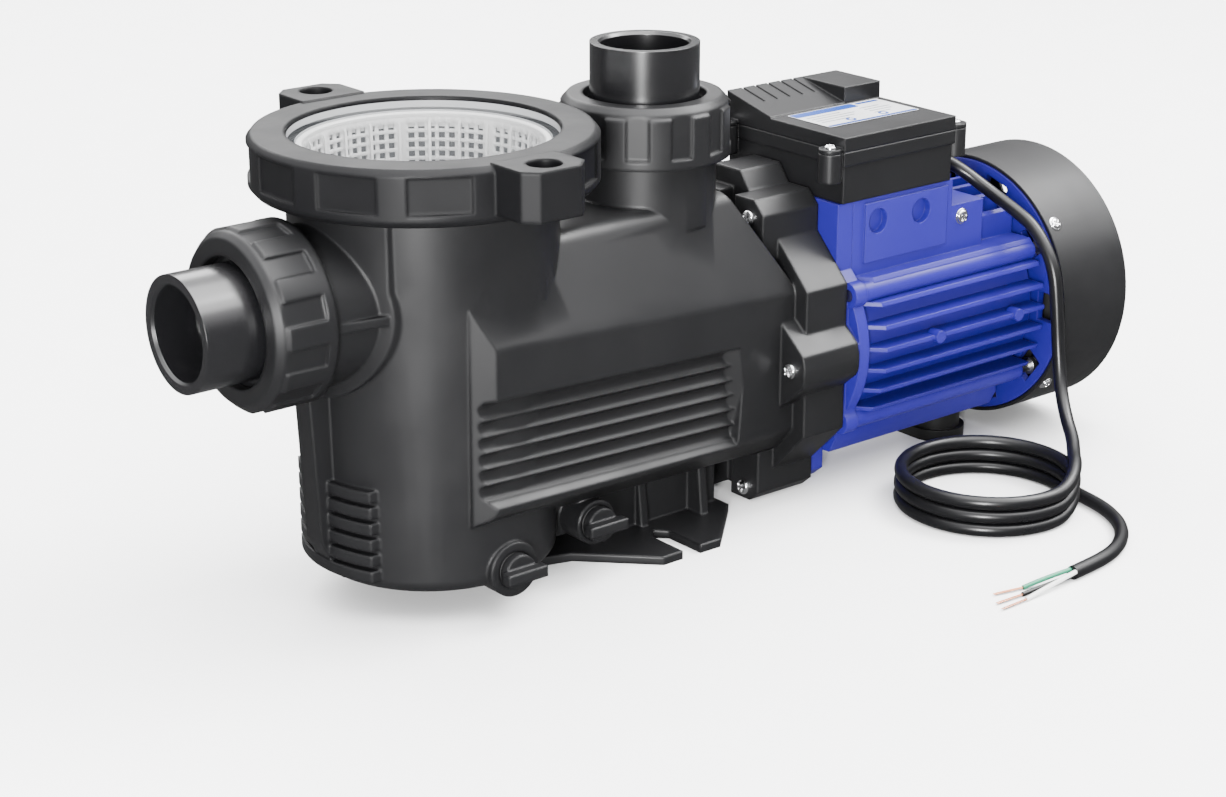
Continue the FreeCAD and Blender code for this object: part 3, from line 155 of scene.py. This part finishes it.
def surface(name, colour, roughness, metallic=0.0, mottle=0.06, grain=1800, bump=0.05, smear=0.06,
            edge=0.0008, **sockets):
    """A finish with slow colour drift, uneven gloss, a fine moulded or cast grain and rounded edges.

    mottle and smear are how far the colour and the roughness wander, and edge is the radius in metres
    that sharp edges are shaded with. Further sockets of the shader are given by name.
    """
    material = bpy.data.materials.new(name)
    material.use_nodes = True
    tree = material.node_tree
    shader = tree.nodes["Principled BSDF"]
    link = tree.links.new
    shader.inputs["Metallic"].default_value = metallic
    for socket, value in sockets.items():
        shader.inputs[socket.replace("_", " ").title().replace("Ior", "IOR")].default_value = value
    place = tree.nodes.new("ShaderNodeTexCoord")
    drift = tree.nodes.new("ShaderNodeTexNoise")
    drift.inputs["Scale"].default_value = DRIFT_SCALE
    drift.inputs["Detail"].default_value = DRIFT_DETAIL
    link(place.outputs["Object"], drift.inputs["Vector"])
    tint = tree.nodes.new("ShaderNodeMix")
    tint.data_type = "RGBA"
    tint.inputs["A"].default_value = scaled(colour, 1 - mottle)
    tint.inputs["B"].default_value = scaled(colour, 1 + mottle)
    link(drift.outputs["Fac"], tint.inputs["Factor"])
    link(tint.outputs["Result"], shader.inputs["Base Color"])
    gloss = tree.nodes.new("ShaderNodeMapRange")
    gloss.inputs["From Min"].default_value = 0.3
    gloss.inputs["From Max"].default_value = 0.7
    gloss.inputs["To Min"].default_value = max(roughness - smear, SMALLEST_ROUGHNESS)
    gloss.inputs["To Max"].default_value = roughness + smear
    link(drift.outputs["Fac"], gloss.inputs["Value"])
    link(gloss.outputs["Result"], shader.inputs["Roughness"])
    fine = tree.nodes.new("ShaderNodeTexNoise")
    fine.inputs["Scale"].default_value = grain
    fine.inputs["Detail"].default_value = GRAIN_DETAIL
    link(place.outputs["Object"], fine.inputs["Vector"])
    relief = tree.nodes.new("ShaderNodeBump")
    relief.inputs["Strength"].default_value = bump
    relief.inputs["Distance"].default_value = GRAIN_DEPTH
    link(fine.outputs["Fac"], relief.inputs["Height"])
    if edge:
        rounding = tree.nodes.new("ShaderNodeBevel")
        rounding.samples = EDGE_SAMPLES
        rounding.inputs["Radius"].default_value = edge
        link(rounding.outputs["Normal"], relief.inputs["Normal"])
    link(relief.outputs["Normal"], shader.inputs["Normal"])
    return material


DARK = {"specular_ior_level": 0.32}
CLEAR = {"mottle": 0.02, "bump": 0.0, "smear": 0.02, "edge": 0}
CHARCOAL = (0.005, 0.005, 0.0055)
FINISHES = {
    "casing_plastic": surface("casing_plastic", CHARCOAL, 0.42, bump=0.12, edge=0.0026, **DARK),
    "union_black": surface("union_black", (0.004, 0.004, 0.0045), 0.24, bump=0.02, smear=0.03,
                           edge=0.0006, specular_ior_level=0.8),
    "basket_white": surface("basket_white", (0.6, 0.6, 0.595), 0.42, mottle=0.02, edge=0),
    "lid_clear": surface("lid_clear", (0.2, 0.21, 0.22), 0.05, alpha=0.1, **CLEAR),
    "inner_plastic": surface("inner_plastic", (0.02, 0.02, 0.021), 0.45),
    "seal_rubber": surface("seal_rubber", (0.008, 0.008, 0.008), 0.6, edge=0, **DARK),
    "seal_ceramic": surface("seal_ceramic", (0.75, 0.73, 0.68), 0.2),
    "motor_blue": surface("motor_blue", (0.01, 0.006, 0.13), 0.42, mottle=0.05, grain=900, bump=0.2,
                          edge=0.001, specular_ior_level=0.25),
    "cover_grey": surface("cover_grey", CHARCOAL, 0.42, bump=0.06, edge=0.0016, **DARK),
    "bright_screw": surface("bright_screw", (0.72, 0.72, 0.73), 0.14, 1.0, bump=0.02, edge=0.0002),
    "steel": surface("steel", (0.5, 0.5, 0.51), 0.28, 1.0),
    "stator_steel": surface("stator_steel", (0.35, 0.35, 0.37), 0.4, 1.0),
    "rotor_metal": surface("rotor_metal", (0.45, 0.45, 0.46), 0.35, 1.0),
    "box_plastic": surface("box_plastic", CHARCOAL, 0.38, bump=0.14, edge=0.0016, **DARK),
    "plate_metal": surface("plate_metal", (0.5, 0.505, 0.52), 0.35, mottle=0.03, edge=0),
    "capacitor_case": surface("capacitor_case", (0.6, 0.6, 0.58), 0.3),
    "terminal_plastic": surface("terminal_plastic", (0.5, 0.45, 0.34), 0.45),
    "pad_rubber": surface("pad_rubber", (0.006, 0.006, 0.006), 0.45, bump=0.1, **DARK),
    "cord_sheath": surface("cord_sheath", (0.0035, 0.0035, 0.004), 0.32, bump=0.02, edge=0, **DARK),
    "core_green": surface("core_green", (0.015, 0.16, 0.09), 0.35, edge=0),
    "core_black": surface("core_black", (0.008, 0.008, 0.008), 0.35, edge=0, **DARK),
    "core_white": surface("core_white", (0.6, 0.6, 0.59), 0.35, edge=0),
    "copper": surface("copper", (0.7, 0.33, 0.2), 0.3, 1.0, grain=3000, bump=0.2, edge=0),
}
RING_PLASTIC = surface("ring_plastic", (0.004, 0.004, 0.0045), 0.45, bump=0.12, edge=0.0026,
                       specular_ior_level=0.17)
# Painted light: a pale, half-opaque band on the lid's rim that stands in for the lit white basket rim
# seen through it.
PAINTED_LIGHT_LID_RIM = surface("lid_edge", (0.62, 0.63, 0.64), 0.3, alpha=0.6, **CLEAR)
LABEL_BLUE = surface("label_blue", (0.008, 0.045, 0.24), 0.3, edge=0)
LABEL_GREY = surface("label_grey", (0.14, 0.15, 0.17), 0.35, edge=0)


# ---- making pieces -----------------------------------------------------------------------------

SAME_CORNER = 0.00001
FLAT_WITHIN = math.radians(0.3)
SMOOTH_BELOW = 32
done = set()


def join(piece, node, *also_replaced):
    """Rides a piece on its node's body, gives it the node's finish and hides what it stands for."""
    slot = SLOT_OF[node]
    if not piece.data.materials:
        piece.data.materials.append(FINISHES[slot])
    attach(piece, BODY_OF[node])
    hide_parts(node, *also_replaced)
    done.update((node, *also_replaced))
    return piece


def smoothed(mesh, angle=SMOOTH_BELOW):
    """Smooth shading, with edges sharper than the angle kept crisp."""
    mesh.shade_smooth()
    mesh.set_sharp_from_angle(angle=math.radians(angle))
    return mesh


def mesh_of(name, points, faces, angle=SMOOTH_BELOW):
    """A mesh from corners in millimetres."""
    mesh = bpy.data.meshes.new(name)
    mesh.from_pydata([placed(point) for point in points], [], faces)
    mesh.validate()
    return smoothed(mesh, angle)


def evaluated_mesh(piece):
    """The mesh that a piece has once its modifiers or its curve settings are worked out."""
    bpy.context.view_layer.update()
    scene_now = bpy.context.evaluated_depsgraph_get()
    return bpy.data.meshes.new_from_object(piece.evaluated_get(scene_now))


def applied(piece, kind, **settings):
    """Runs one modifier on a piece and keeps its result as the mesh."""
    modifier = piece.modifiers.new(kind.title(), kind)
    for name, value in settings.items():
        setattr(modifier, name, value)
    result = evaluated_mesh(piece)
    piece.modifiers.clear()
    piece.data = result


def skin(node):
    """A smoothly shaded copy of a CAD node, its flat faces whole again, not cut into triangles."""
    work = bmesh.new()
    work.from_mesh(NODES[node].data)
    bmesh.ops.remove_doubles(work, verts=work.verts, dist=SAME_CORNER)
    bmesh.ops.dissolve_limit(work, angle_limit=FLAT_WITHIN, verts=work.verts, edges=work.edges)
    work.verts.index_update()
    mesh = bpy.data.meshes.new(node + "_skin")
    mesh.from_pydata([corner.co for corner in work.verts], [],
                     [[corner.index for corner in face.verts] for face in work.faces])
    work.free()
    return join(linked(node + "_skin", smoothed(mesh)), node)


def compass(steps):
    """Even turns around a circle, in radians."""
    return [2 * math.pi * step / steps for step in range(steps)]


def on_circle(radius, turn, height):
    return radius * math.cos(turn), radius * math.sin(turn), height


def revolved(profile, steps):
    """Corners and faces of a closed outline of (radius, height) turned about the pot's axis."""
    points = [on_circle(radius, turn, height) for turn in compass(steps) for radius, height in profile]
    count = len(profile)
    faces = []
    for step in range(steps):
        here, ahead = step * count, (step + 1) % steps * count
        for index in range(count):
            after = (index + 1) % count
            faces.append((here + index, here + after, ahead + after, ahead + index))
    return points, faces


def bands(rings, around, first=0, inside_out=False, hole=None):
    """Faces between rings of corners that follow one another, except where there is a hole."""
    faces = []
    for ring in range(rings - 1):
        low, high = first + ring * around, first + (ring + 1) * around
        for step in range(around):
            after = (step + 1) % around
            if hole and hole(ring, step):
                continue
            if inside_out:
                faces.append((low + step, high + step, high + after, low + after))
            else:
                faces.append((low + step, low + after, high + after, high + step))
    return faces


def merged(parts):
    """One list of corners and faces from several."""
    points, faces = [], []
    for more_points, more_faces in parts:
        start = len(points)
        points += more_points
        faces += [tuple(start + corner for corner in face) for face in more_faces]
    return points, faces


# ---- supply cord -------------------------------------------------------------------------------

CORD_RADIUS = 4
COIL_AT = (311.4, -114.5)
COIL_RADIUS = 50.3
TURN_STEPS = 24
COIL_STEPS = 69
COIL_START = math.radians(-31.6)
FIRST_TURN_HEIGHT = 7 * CORD_RADIUS
STEP_DOWN_AFTER, STEP_DOWN_OVER = 0.5, 3

CORD_DROP = [(334, -5, 184), (358, -5, 184), (380, -13.5, 172.5), (390, -33, 158.5),
             (390, -54, 151), (390, -72, 143.5), (388.5, -89.5, 124), (388, -94, 98),
             (387.5, -97.5, 72), (383.5, -104.5, 51.5), (375.5, -117, 38.5), (366.5, -130.5, 32),
             (355, -141.5, 28)]
CORD_TAIL = [(361.6, -118, 4), (360, -131.5, 4), (357, -145, 4), (353.5, -165, 4), (345, -185, 4),
             (330, -202, 4), (310.5, -213.5, 4), (289, -218.5, 4), (267, -220, 4)]


def coil_height(step):
    """A turn lies level, and steps down by a cord's thickness to the one below just after it starts."""
    turn, part = divmod(step, TURN_STEPS)
    fall = min(max((part - STEP_DOWN_AFTER) / STEP_DOWN_OVER, 0), 1)
    fall = fall * fall * (3 - 2 * fall)
    return max(FIRST_TURN_HEIGHT - 2 * CORD_RADIUS * (turn + fall), CORD_RADIUS)


def coil_points():
    points = []
    for step in range(1, COIL_STEPS + 1):
        turn = COIL_START - 2 * math.pi * step / TURN_STEPS
        x, y, height = on_circle(COIL_RADIUS, turn, coil_height(step))
        points.append((COIL_AT[0] + x, COIL_AT[1] + y, height))
    return points


def smooth_line(name, routes, radius, resolution=6, roundness=5):
    """Round wires, each along its own open NURBS spline."""
    curve = bpy.data.curves.new(name, "CURVE")
    curve.dimensions = "3D"
    for route in routes:
        spline = curve.splines.new("NURBS")
        spline.points.add(len(route) - 1)
        for point, place in zip(spline.points, route):
            point.co = (*placed(place), 1)
        spline.order_u = 3
        spline.use_endpoint_u = True
        spline.resolution_u = resolution
    curve.bevel_depth = radius * MM
    curve.bevel_resolution = roundness
    curve.use_fill_caps = True
    return linked(name, curve)


def read_line(piece):
    """The points of a curve piece's own smooth line, in metres."""
    bare = piece.copy()
    bare.data = piece.data.copy()
    bare.data.bevel_depth = 0
    bpy.context.scene.collection.objects.link(bare)
    line = [corner.co.copy() for corner in evaluated_mesh(bare).vertices]
    bpy.data.objects.remove(bare)
    return line


cord = join(smooth_line("supply_cord", [CORD_DROP + coil_points() + CORD_TAIL], CORD_RADIUS),
            "cord_coil", "cord_drop", "cord_tail")

CORE_RADIUS = 1.3
CORES = {"core_green": [(268, -218.4, 5.4), (250, -215.5, 4.2), (236, -212.5, CORE_RADIUS)],
         "core_black": [(268, -220.2, 2.4), (249, -219.5, 2.2), (229, -218.5, CORE_RADIUS)],
         "core_white": [(268, -221.8, 5.2), (246, -223.5, 3.8), (226, -224, CORE_RADIUS)]}
cores = [join(smooth_line(name + "_wire", [route], CORE_RADIUS), name)
         for name, route in CORES.items()]

STRANDS = 4
STRAND_RADIUS = 0.26
STRAND_SPACING = 0.45
BARE_LENGTH = 19
STRAND_BEND_AT = 6
SHORTER_STRAND = 1.5
TIP_SAGS = Vector((0, 0, 0.14))


def strand_routes():
    """The bare copper at each core's end: strands that run on from it, spread a little and sag."""
    routes = []
    for route in CORES.values():
        start, end = Vector(route[-2]), Vector(route[-1])
        ahead = Vector((end.x - start.x, end.y - start.y, 0)).normalized()
        aside = Vector((-ahead.y, ahead.x, 0))
        for index, turn in enumerate(compass(STRANDS)):
            offset = STRAND_SPACING * (aside * math.cos(turn) + Vector((0, 0, math.sin(turn))))
            spread = offset * (1 + 0.2 * (index % 3))
            length = BARE_LENGTH - SHORTER_STRAND * (index % 2)
            strand = [end + offset - ahead, end + offset * 1.1 + ahead * STRAND_BEND_AT,
                      end - TIP_SAGS + spread + ahead * length]
            routes.append([(x, y, max(z, STRAND_RADIUS)) for x, y, z in strand])
    return routes


copper_ends = join(smooth_line("copper_strands", strand_routes(), STRAND_RADIUS, 12, 2), "copper_ends")


def sleeve(name, line, radii, sides=32):
    """A round sleeve around a line in metres, with one radius in millimetres for each of its points."""
    points = []
    upright = Vector((0, 0, 1))
    for index, (centre, radius) in enumerate(zip(line, radii)):
        ahead = (line[min(index + 1, len(line) - 1)] - line[max(index - 1, 0)]).normalized()
        across = ahead.cross(upright).normalized()
        up = across.cross(ahead)
        for turn in compass(sides):
            points.append(centre + (across * math.cos(turn) + up * math.sin(turn)) * radius * MM)
    last = (len(radii) - 1) * sides
    faces = bands(len(radii), sides)
    faces += [tuple(range(sides - 1, -1, -1)), tuple(range(last, last + sides))]
    mesh = bpy.data.meshes.new(name)
    mesh.from_pydata(points, [], faces)
    return linked(name, smoothed(mesh, 40))


RELIEF_LENGTH = 38
RELIEF_START_X = 337.2
RELIEF_THICK, RELIEF_TAPER = 7, 2.1
RELIEF_RINGS = 7
FLANGE_SHARE, FLANGE_RADIUS = 0.12, 8.6
GROOVE_FROM, GROOVE_DEPTH = 0.25, 0.45
PARTS_OF_STEP = 4


def relief_line():
    """The cord's own line from inside the box's wall to the end of the strain relief."""
    line, travelled = [], 0
    whole = read_line(cord)
    for before, point in zip(whole, whole[1:]):
        if point.x < placed((RELIEF_START_X, 0, 0)).x:
            continue
        travelled += (point - before).length / MM
        if travelled > RELIEF_LENGTH:
            break
        line.append(point)
    return [low.lerp(high, part / PARTS_OF_STEP)
            for low, high in zip(line, line[1:]) for part in range(PARTS_OF_STEP)]


def relief_radius(share):
    """A flange at the box, then a taper, ringed over most of its length."""
    if share <= FLANGE_SHARE:
        return FLANGE_RADIUS
    in_groove = share > GROOVE_FROM and math.sin(share * RELIEF_RINGS * 2 * math.pi) > 0.2
    return RELIEF_THICK - RELIEF_TAPER * share - (GROOVE_DEPTH if in_groove else 0)


relief_points = relief_line()
relief_radii = [relief_radius(index / (len(relief_points) - 1)) for index in range(len(relief_points))]
join(sleeve("strain_relief", relief_points, relief_radii), "cable_gland")


# ---- basket ------------------------------------------------------------------------------------

COLUMNS = 72
PLAIN_EVERY, PLAIN_COLUMN = 9, 4
ROW_PITCH = 5
LATTICE_LOW, LATTICE_HIGH = 59.5, 239.5
BAR_SHARE = 0.36
SPOKES = 36
SPOKE_SHARE = 0.6
FLOOR_HUB, FLOOR_BAR, FLOOR_PITCH = 6, 2, 5.4
BASKET_WALL = 2
RIB_COUNT = 24
RIB_HALF = 0.7
RIM_STEPS = 144
WALL_FOOT, WALL_TOP = 56.2, 64.2
FOOT_Z, RIM_Z, COLLAR_TOP = 52, 235.4, 243.4


def wall_radius(height):
    return WALL_FOOT + (WALL_TOP - WALL_FOOT) * (height - FOOT_Z) / (RIM_Z - FOOT_Z)


def lattice():
    """The basket's wall: a square hole in each cell of a grid, but for eight plain columns."""
    heights = [FOOT_Z]
    rows = int((LATTICE_HIGH - LATTICE_LOW) / ROW_PITCH)
    for row in range(rows):
        heights += [LATTICE_LOW + row * ROW_PITCH, LATTICE_LOW + (row + 1 - BAR_SHARE) * ROW_PITCH]
    heights += [COLLAR_TOP]
    turns = [2 * math.pi * (column + share) / COLUMNS
             for column in range(COLUMNS) for share in (0, 1 - BAR_SHARE)]
    points = [on_circle(wall_radius(height), turn, height) for height in heights for turn in turns]

    def hole(ring, step):
        return ring % 2 == 1 and step % 2 == 0 and step // 2 % PLAIN_EVERY != PLAIN_COLUMN

    return points, bands(len(heights), len(turns), hole=hole)


def basket_floor():
    """The basket's bottom: rings and spokes with a hole in each cell."""
    radii = [FLOOR_HUB]
    while radii[-1] < WALL_FOOT - FLOOR_HUB:
        radii += [radii[-1] + FLOOR_BAR, radii[-1] + FLOOR_PITCH]
    radii.append(WALL_FOOT)
    turns = [2 * math.pi * (spoke + share) / SPOKES
             for spoke in range(SPOKES) for share in (0, SPOKE_SHARE)]
    points = [on_circle(radius, turn, FOOT_Z) for radius in radii for turn in turns]
    points.append((0, 0, FOOT_Z))
    around = len(turns)
    faces = [(len(points) - 1, step, (step + 1) % around) for step in range(around)]

    def hole(ring, step):
        return ring % 2 == 1 and step % 2 == 0

    return points, faces + bands(len(radii), around, inside_out=True, hole=hole)


def rib(outline, turn):
    """An upright rib inside the basket's wall, from its outline of (radius, height)."""
    count = len(outline)
    turned = Matrix.Rotation(turn, 3, "Z")
    points = [tuple(turned @ Vector((radius, half, height)))
              for half in (-RIB_HALF, RIB_HALF) for radius, height in outline]
    faces = []
    for corner in range(count):
        after = (corner + 1) % count
        faces.append((corner, after, after + count, corner + count))
    faces += [tuple(range(count - 1, -1, -1)), tuple(range(count, 2 * count))]
    return points, faces


basket_wall = linked("basket_wall", mesh_of("basket_wall", *lattice()))
applied(basket_wall, "SOLIDIFY", thickness=BASKET_WALL * MM, offset=-1, use_even_offset=True)
basket_bottom = linked("basket_bottom", mesh_of("basket_bottom", *basket_floor()))
applied(basket_bottom, "SOLIDIFY", thickness=BASKET_WALL * MM, offset=1)

rib_outline = [(58.6, 150), (61, 150), (64.4, 241), (63.2, 241), (61.2, 237)]
rim_outline = [(70.2, 235.4), (70.2, 237.6), (69.6, 238.2), (64.4, 238.2), (64.3, 235.4)]
lip_outline = [(62.2, 241.4), (65, 241.4), (65.6, 242.2), (65.5, 243.2), (65, 243.6),
               (62.8, 243.6), (62.2, 243)]
ribs = [rib(rib_outline, 2 * math.pi * (index + 0.5) / RIB_COUNT) for index in range(RIB_COUNT)]
basket_rim = linked("basket_rim", mesh_of("basket_rim", *merged([
    revolved(rim_outline, RIM_STEPS), revolved(lip_outline, RIM_STEPS), *ribs]), angle=40))
join(basket_rim, "basket")
for piece in (basket_wall, basket_bottom):
    piece.data.materials.clear()
    piece.data.materials.append(FINISHES["basket_white"])
    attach(piece, "basket")


# ---- screws ------------------------------------------------------------------------------------

HEAD_STEPS, HEAD_RINGS = 40, 12
BRIM_SHARE = 0.35
CROSS_ARM, CROSS_HALF_WIDTH, CROSS_DEPTH, CROSS_SLOPE = 0.62, 0.17, 0.62, 0.7
SUNK = 0.3


def head_lift(radius, height, x, y, share):
    """The height of a domed head over its seat, lower inside the cross recess."""
    dome = height * (BRIM_SHARE + (1 - BRIM_SHARE) * math.sqrt(max(1 - share ** 2, 0)))
    narrow, long = sorted((abs(x), abs(y)))
    arm = radius * CROSS_ARM
    if narrow < radius * CROSS_HALF_WIDTH and long < arm:
        return dome - height * CROSS_DEPTH * (1 - long / arm * CROSS_SLOPE)
    return dome


def washer_outline(head_radius, radius):
    return (head_radius * 0.9, 0.5), (radius - 0.4, 0.5), (radius, 0.1), (radius, -0.2)


def screw_head(at, outwards, radius, height, washer=None):
    """A domed head with a cross recess, standing on its seat and facing outwards."""
    outwards = Vector(outwards).normalized()
    across = outwards.orthogonal().normalized()
    turned = Matrix((across, outwards.cross(across), outwards)).transposed()
    points = [(0, 0, head_lift(radius, height, 0, 0, 0))]
    for ring in range(1, HEAD_RINGS + 1):
        share = ring / HEAD_RINGS
        for turn in compass(HEAD_STEPS):
            x, y, _ = on_circle(radius * share, turn, 0)
            points.append((x, y, head_lift(radius, height, x, y, share)))
    points += [on_circle(radius, turn, -SUNK) for turn in compass(HEAD_STEPS)]
    faces = [(0, 1 + step, 1 + (step + 1) % HEAD_STEPS) for step in range(HEAD_STEPS)]
    faces += bands(HEAD_RINGS + 1, HEAD_STEPS, 1, inside_out=True)
    if washer:
        outline = washer_outline(radius, washer)
        faces += bands(len(outline), HEAD_STEPS, len(points), inside_out=True)
        points += [on_circle(wide, turn, level)
                   for wide, level in outline for turn in compass(HEAD_STEPS)]
    return [tuple(Vector(at) + turned @ Vector(point)) for point in points], faces


def screws(node, heads):
    """The heads of a node's screws, which stand for the whole node: the castings hide the shanks."""
    join(linked(node + "_heads", mesh_of(node + "_heads", *merged(heads), angle=50)), node)


SHAFT_Z = 88.8
CASING_HEAD = 3.2
CASING_SCREWS = [(side * across, SHAFT_Z + up) for side in (-1, 1)
                 for across, up in ((57, 0), (19.5, 81.5), (19.5, -81.5))]
COVER_SCREWS_X, COVER_RADIUS = 416, 82.2
COVER_SCREWS = [math.radians(degrees) for degrees in (38.4, 141.6, 218.4, 321.6)]
BOX_HEAD = 2
BOX_SCREWS = [(x, y) for x in (245.5, 346) for y in (-44, 44)]

casing_seat = (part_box("casing_screws")[0].x - POT_X) / MM + CASING_HEAD
box_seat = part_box("box_cover_screws")[1].z / MM - BOX_HEAD
screws("casing_screws", [screw_head((casing_seat, y, z), (-1, 0, 0), 4.6, CASING_HEAD)
                         for y, z in CASING_SCREWS])
cover_heads = []
for turn in COVER_SCREWS:
    out = Vector((0, math.cos(turn), math.sin(turn)))
    seat = Vector((COVER_SCREWS_X, 0, SHAFT_Z)) + out * COVER_RADIUS
    cover_heads.append(screw_head(seat, out, 3.5, 1.9, washer=4.6))
screws("fan_cover_screws", cover_heads)
screws("box_cover_screws", [screw_head((x, y, box_seat), (0, 0, 1), 3.5, BOX_HEAD)
                            for x, y in BOX_SCREWS])
screws("earth_screw", [screw_head((352, -47, 152), (0, -1, 0), 4.2, 2.4, washer=5)])


# ---- rating plate without lettering ------------------------------------------------------------

plate_low, plate_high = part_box("rating_plate")
plate_top = plate_high.z / MM + 0.05
plate_left, plate_right = (plate_low.x - POT_X) / MM, (plate_high.x - POT_X) / MM
plate_front, plate_back = plate_low.y / MM, plate_high.y / MM
PLATE_FINISHES = (FINISHES["plate_metal"], LABEL_BLUE, LABEL_GREY)
METAL, BLUE, GREY = range(len(PLATE_FINISHES))
PRINT_LIFT = 0.04
MARGIN = 0.6
LINE_LENGTHS = (26, 34, 30, 22)
LINE_PITCH, LINE_HEIGHT = 4.2, 1.2
FIRST_LINE = plate_back - 12
LEFT_LINES, RIGHT_LINES, RIGHT_SHARE = plate_left + 4, plate_right - 26, 0.6
STAMPS_X, STAMPS_Y = (285.6, 311.5), -19
STAMP_RADIUS, STAMP_HOLE = 3.2, 1.5


def flat_patch(left, right, front, back, lift, radius=1.5, steps=6):
    """A flat shape with rounded corners."""
    corners = []
    for centre_x, centre_y, first in ((right - radius, back - radius, 0),
                                      (left + radius, back - radius, 90),
                                      (left + radius, front + radius, 180),
                                      (right - radius, front + radius, 270)):
        for step in range(steps + 1):
            turn = math.radians(first + 90 * step / steps)
            x, y, height = on_circle(radius, turn, plate_top + lift)
            corners.append((centre_x + x, centre_y + y, height))
    return corners, [tuple(range(len(corners)))]


def disc(x, y, radius, lift):
    return flat_patch(x - radius, x + radius, y - radius, y + radius, lift, radius, 10)


def line_patch(left, length, row):
    """A plain bar where the plate has a line of text."""
    back = FIRST_LINE - LINE_PITCH * row
    return flat_patch(left, left + length, back - LINE_HEIGHT, back, PRINT_LIFT, 0.5)


patches = [(flat_patch(plate_left, plate_right, plate_front, plate_back, 0), METAL),
           (flat_patch(plate_left + MARGIN, plate_right - 22, plate_back - 8.6, plate_back - MARGIN,
                       PRINT_LIFT), BLUE),
           (flat_patch(plate_left + MARGIN, plate_right - MARGIN, plate_front + MARGIN,
                       plate_front + 3.4, PRINT_LIFT), BLUE),
           (flat_patch(plate_right - 20, plate_right - 2, plate_back - 4.6, plate_back - 1.6,
                       PRINT_LIFT), BLUE)]
for row, length in enumerate(LINE_LENGTHS):
    patches.append((line_patch(LEFT_LINES, length, row), GREY))
    patches.append((line_patch(RIGHT_LINES, length * RIGHT_SHARE, row), GREY))
for centre in STAMPS_X:
    patches.append((disc(centre, STAMPS_Y, STAMP_RADIUS, 0.05), BLUE))
    patches.append((disc(centre, STAMPS_Y, STAMP_HOLE, 0.07), METAL))
plate_mesh = mesh_of("plate_face", *merged([patch for patch, _ in patches]))
for finish in PLATE_FINISHES:
    plate_mesh.materials.append(finish)
for face, (_, finish) in zip(plate_mesh.polygons, patches):
    face.material_index = finish
join(linked("plate_face", plate_mesh), "rating_plate")


# ---- nodes that keep their CAD shape -----------------------------------------------------------

LID_WINDOW = 65.5

skin("lock_ring").data.materials[0] = RING_PLASTIC
lid = skin("lid")
# Faces outside the window take the painted pale rim instead of the lid's own clear finish.
lid.data.materials.append(PAINTED_LIGHT_LID_RIM)
for face in lid.data.polygons:
    if math.hypot(face.center.x - POT_X, face.center.y) > LID_WINDOW * MM:
        face.material_index = 1
for node in NODES:
    if node not in done:
        skin(node)


# ---- floor and backdrop ------------------------------------------------------------------------

FLOOR_HALF = 9

floor_mesh = bpy.data.meshes.new("floor")
floor_mesh.from_pydata([(-FLOOR_HALF, -FLOOR_HALF, 0), (FLOOR_HALF, -FLOOR_HALF, 0),
                        (FLOOR_HALF, FLOOR_HALF, 0), (-FLOOR_HALF, FLOOR_HALF, 0)], [], [(0, 1, 2, 3)])
floor_mesh.materials.append(surface("floor", (0.93, 0.93, 0.93), 0.55, mottle=0.004, bump=0.0, edge=0))
floor = linked("floor", floor_mesh)
floor.visible_glossy = False


def backdrop(radius, strength):
    """A pale wall that only the camera sees, in low views: it neither lights nor shades the pump."""
    shell = bmesh.new()
    bmesh.ops.create_uvsphere(shell, u_segments=48, v_segments=24, radius=radius)
    mesh = bpy.data.meshes.new("backdrop")
    shell.to_mesh(mesh)
    shell.free()
    mesh.shade_smooth()
    glow = bpy.data.materials.new("backdrop")
    glow.use_nodes = True
    shader = glow.node_tree.nodes["Principled BSDF"]
    shader.inputs["Base Color"].default_value = (0, 0, 0, 1)
    shader.inputs["Specular IOR Level"].default_value = 0
    shader.inputs["Emission Color"].default_value = (1, 1, 1, 1)
    shader.inputs["Emission Strength"].default_value = strength
    mesh.materials.append(glow)
    wall = linked("backdrop", mesh)
    wall.visible_diffuse = wall.visible_glossy = False
    wall.visible_transmission = wall.visible_shadow = False


backdrop(radius=8.5, strength=4)
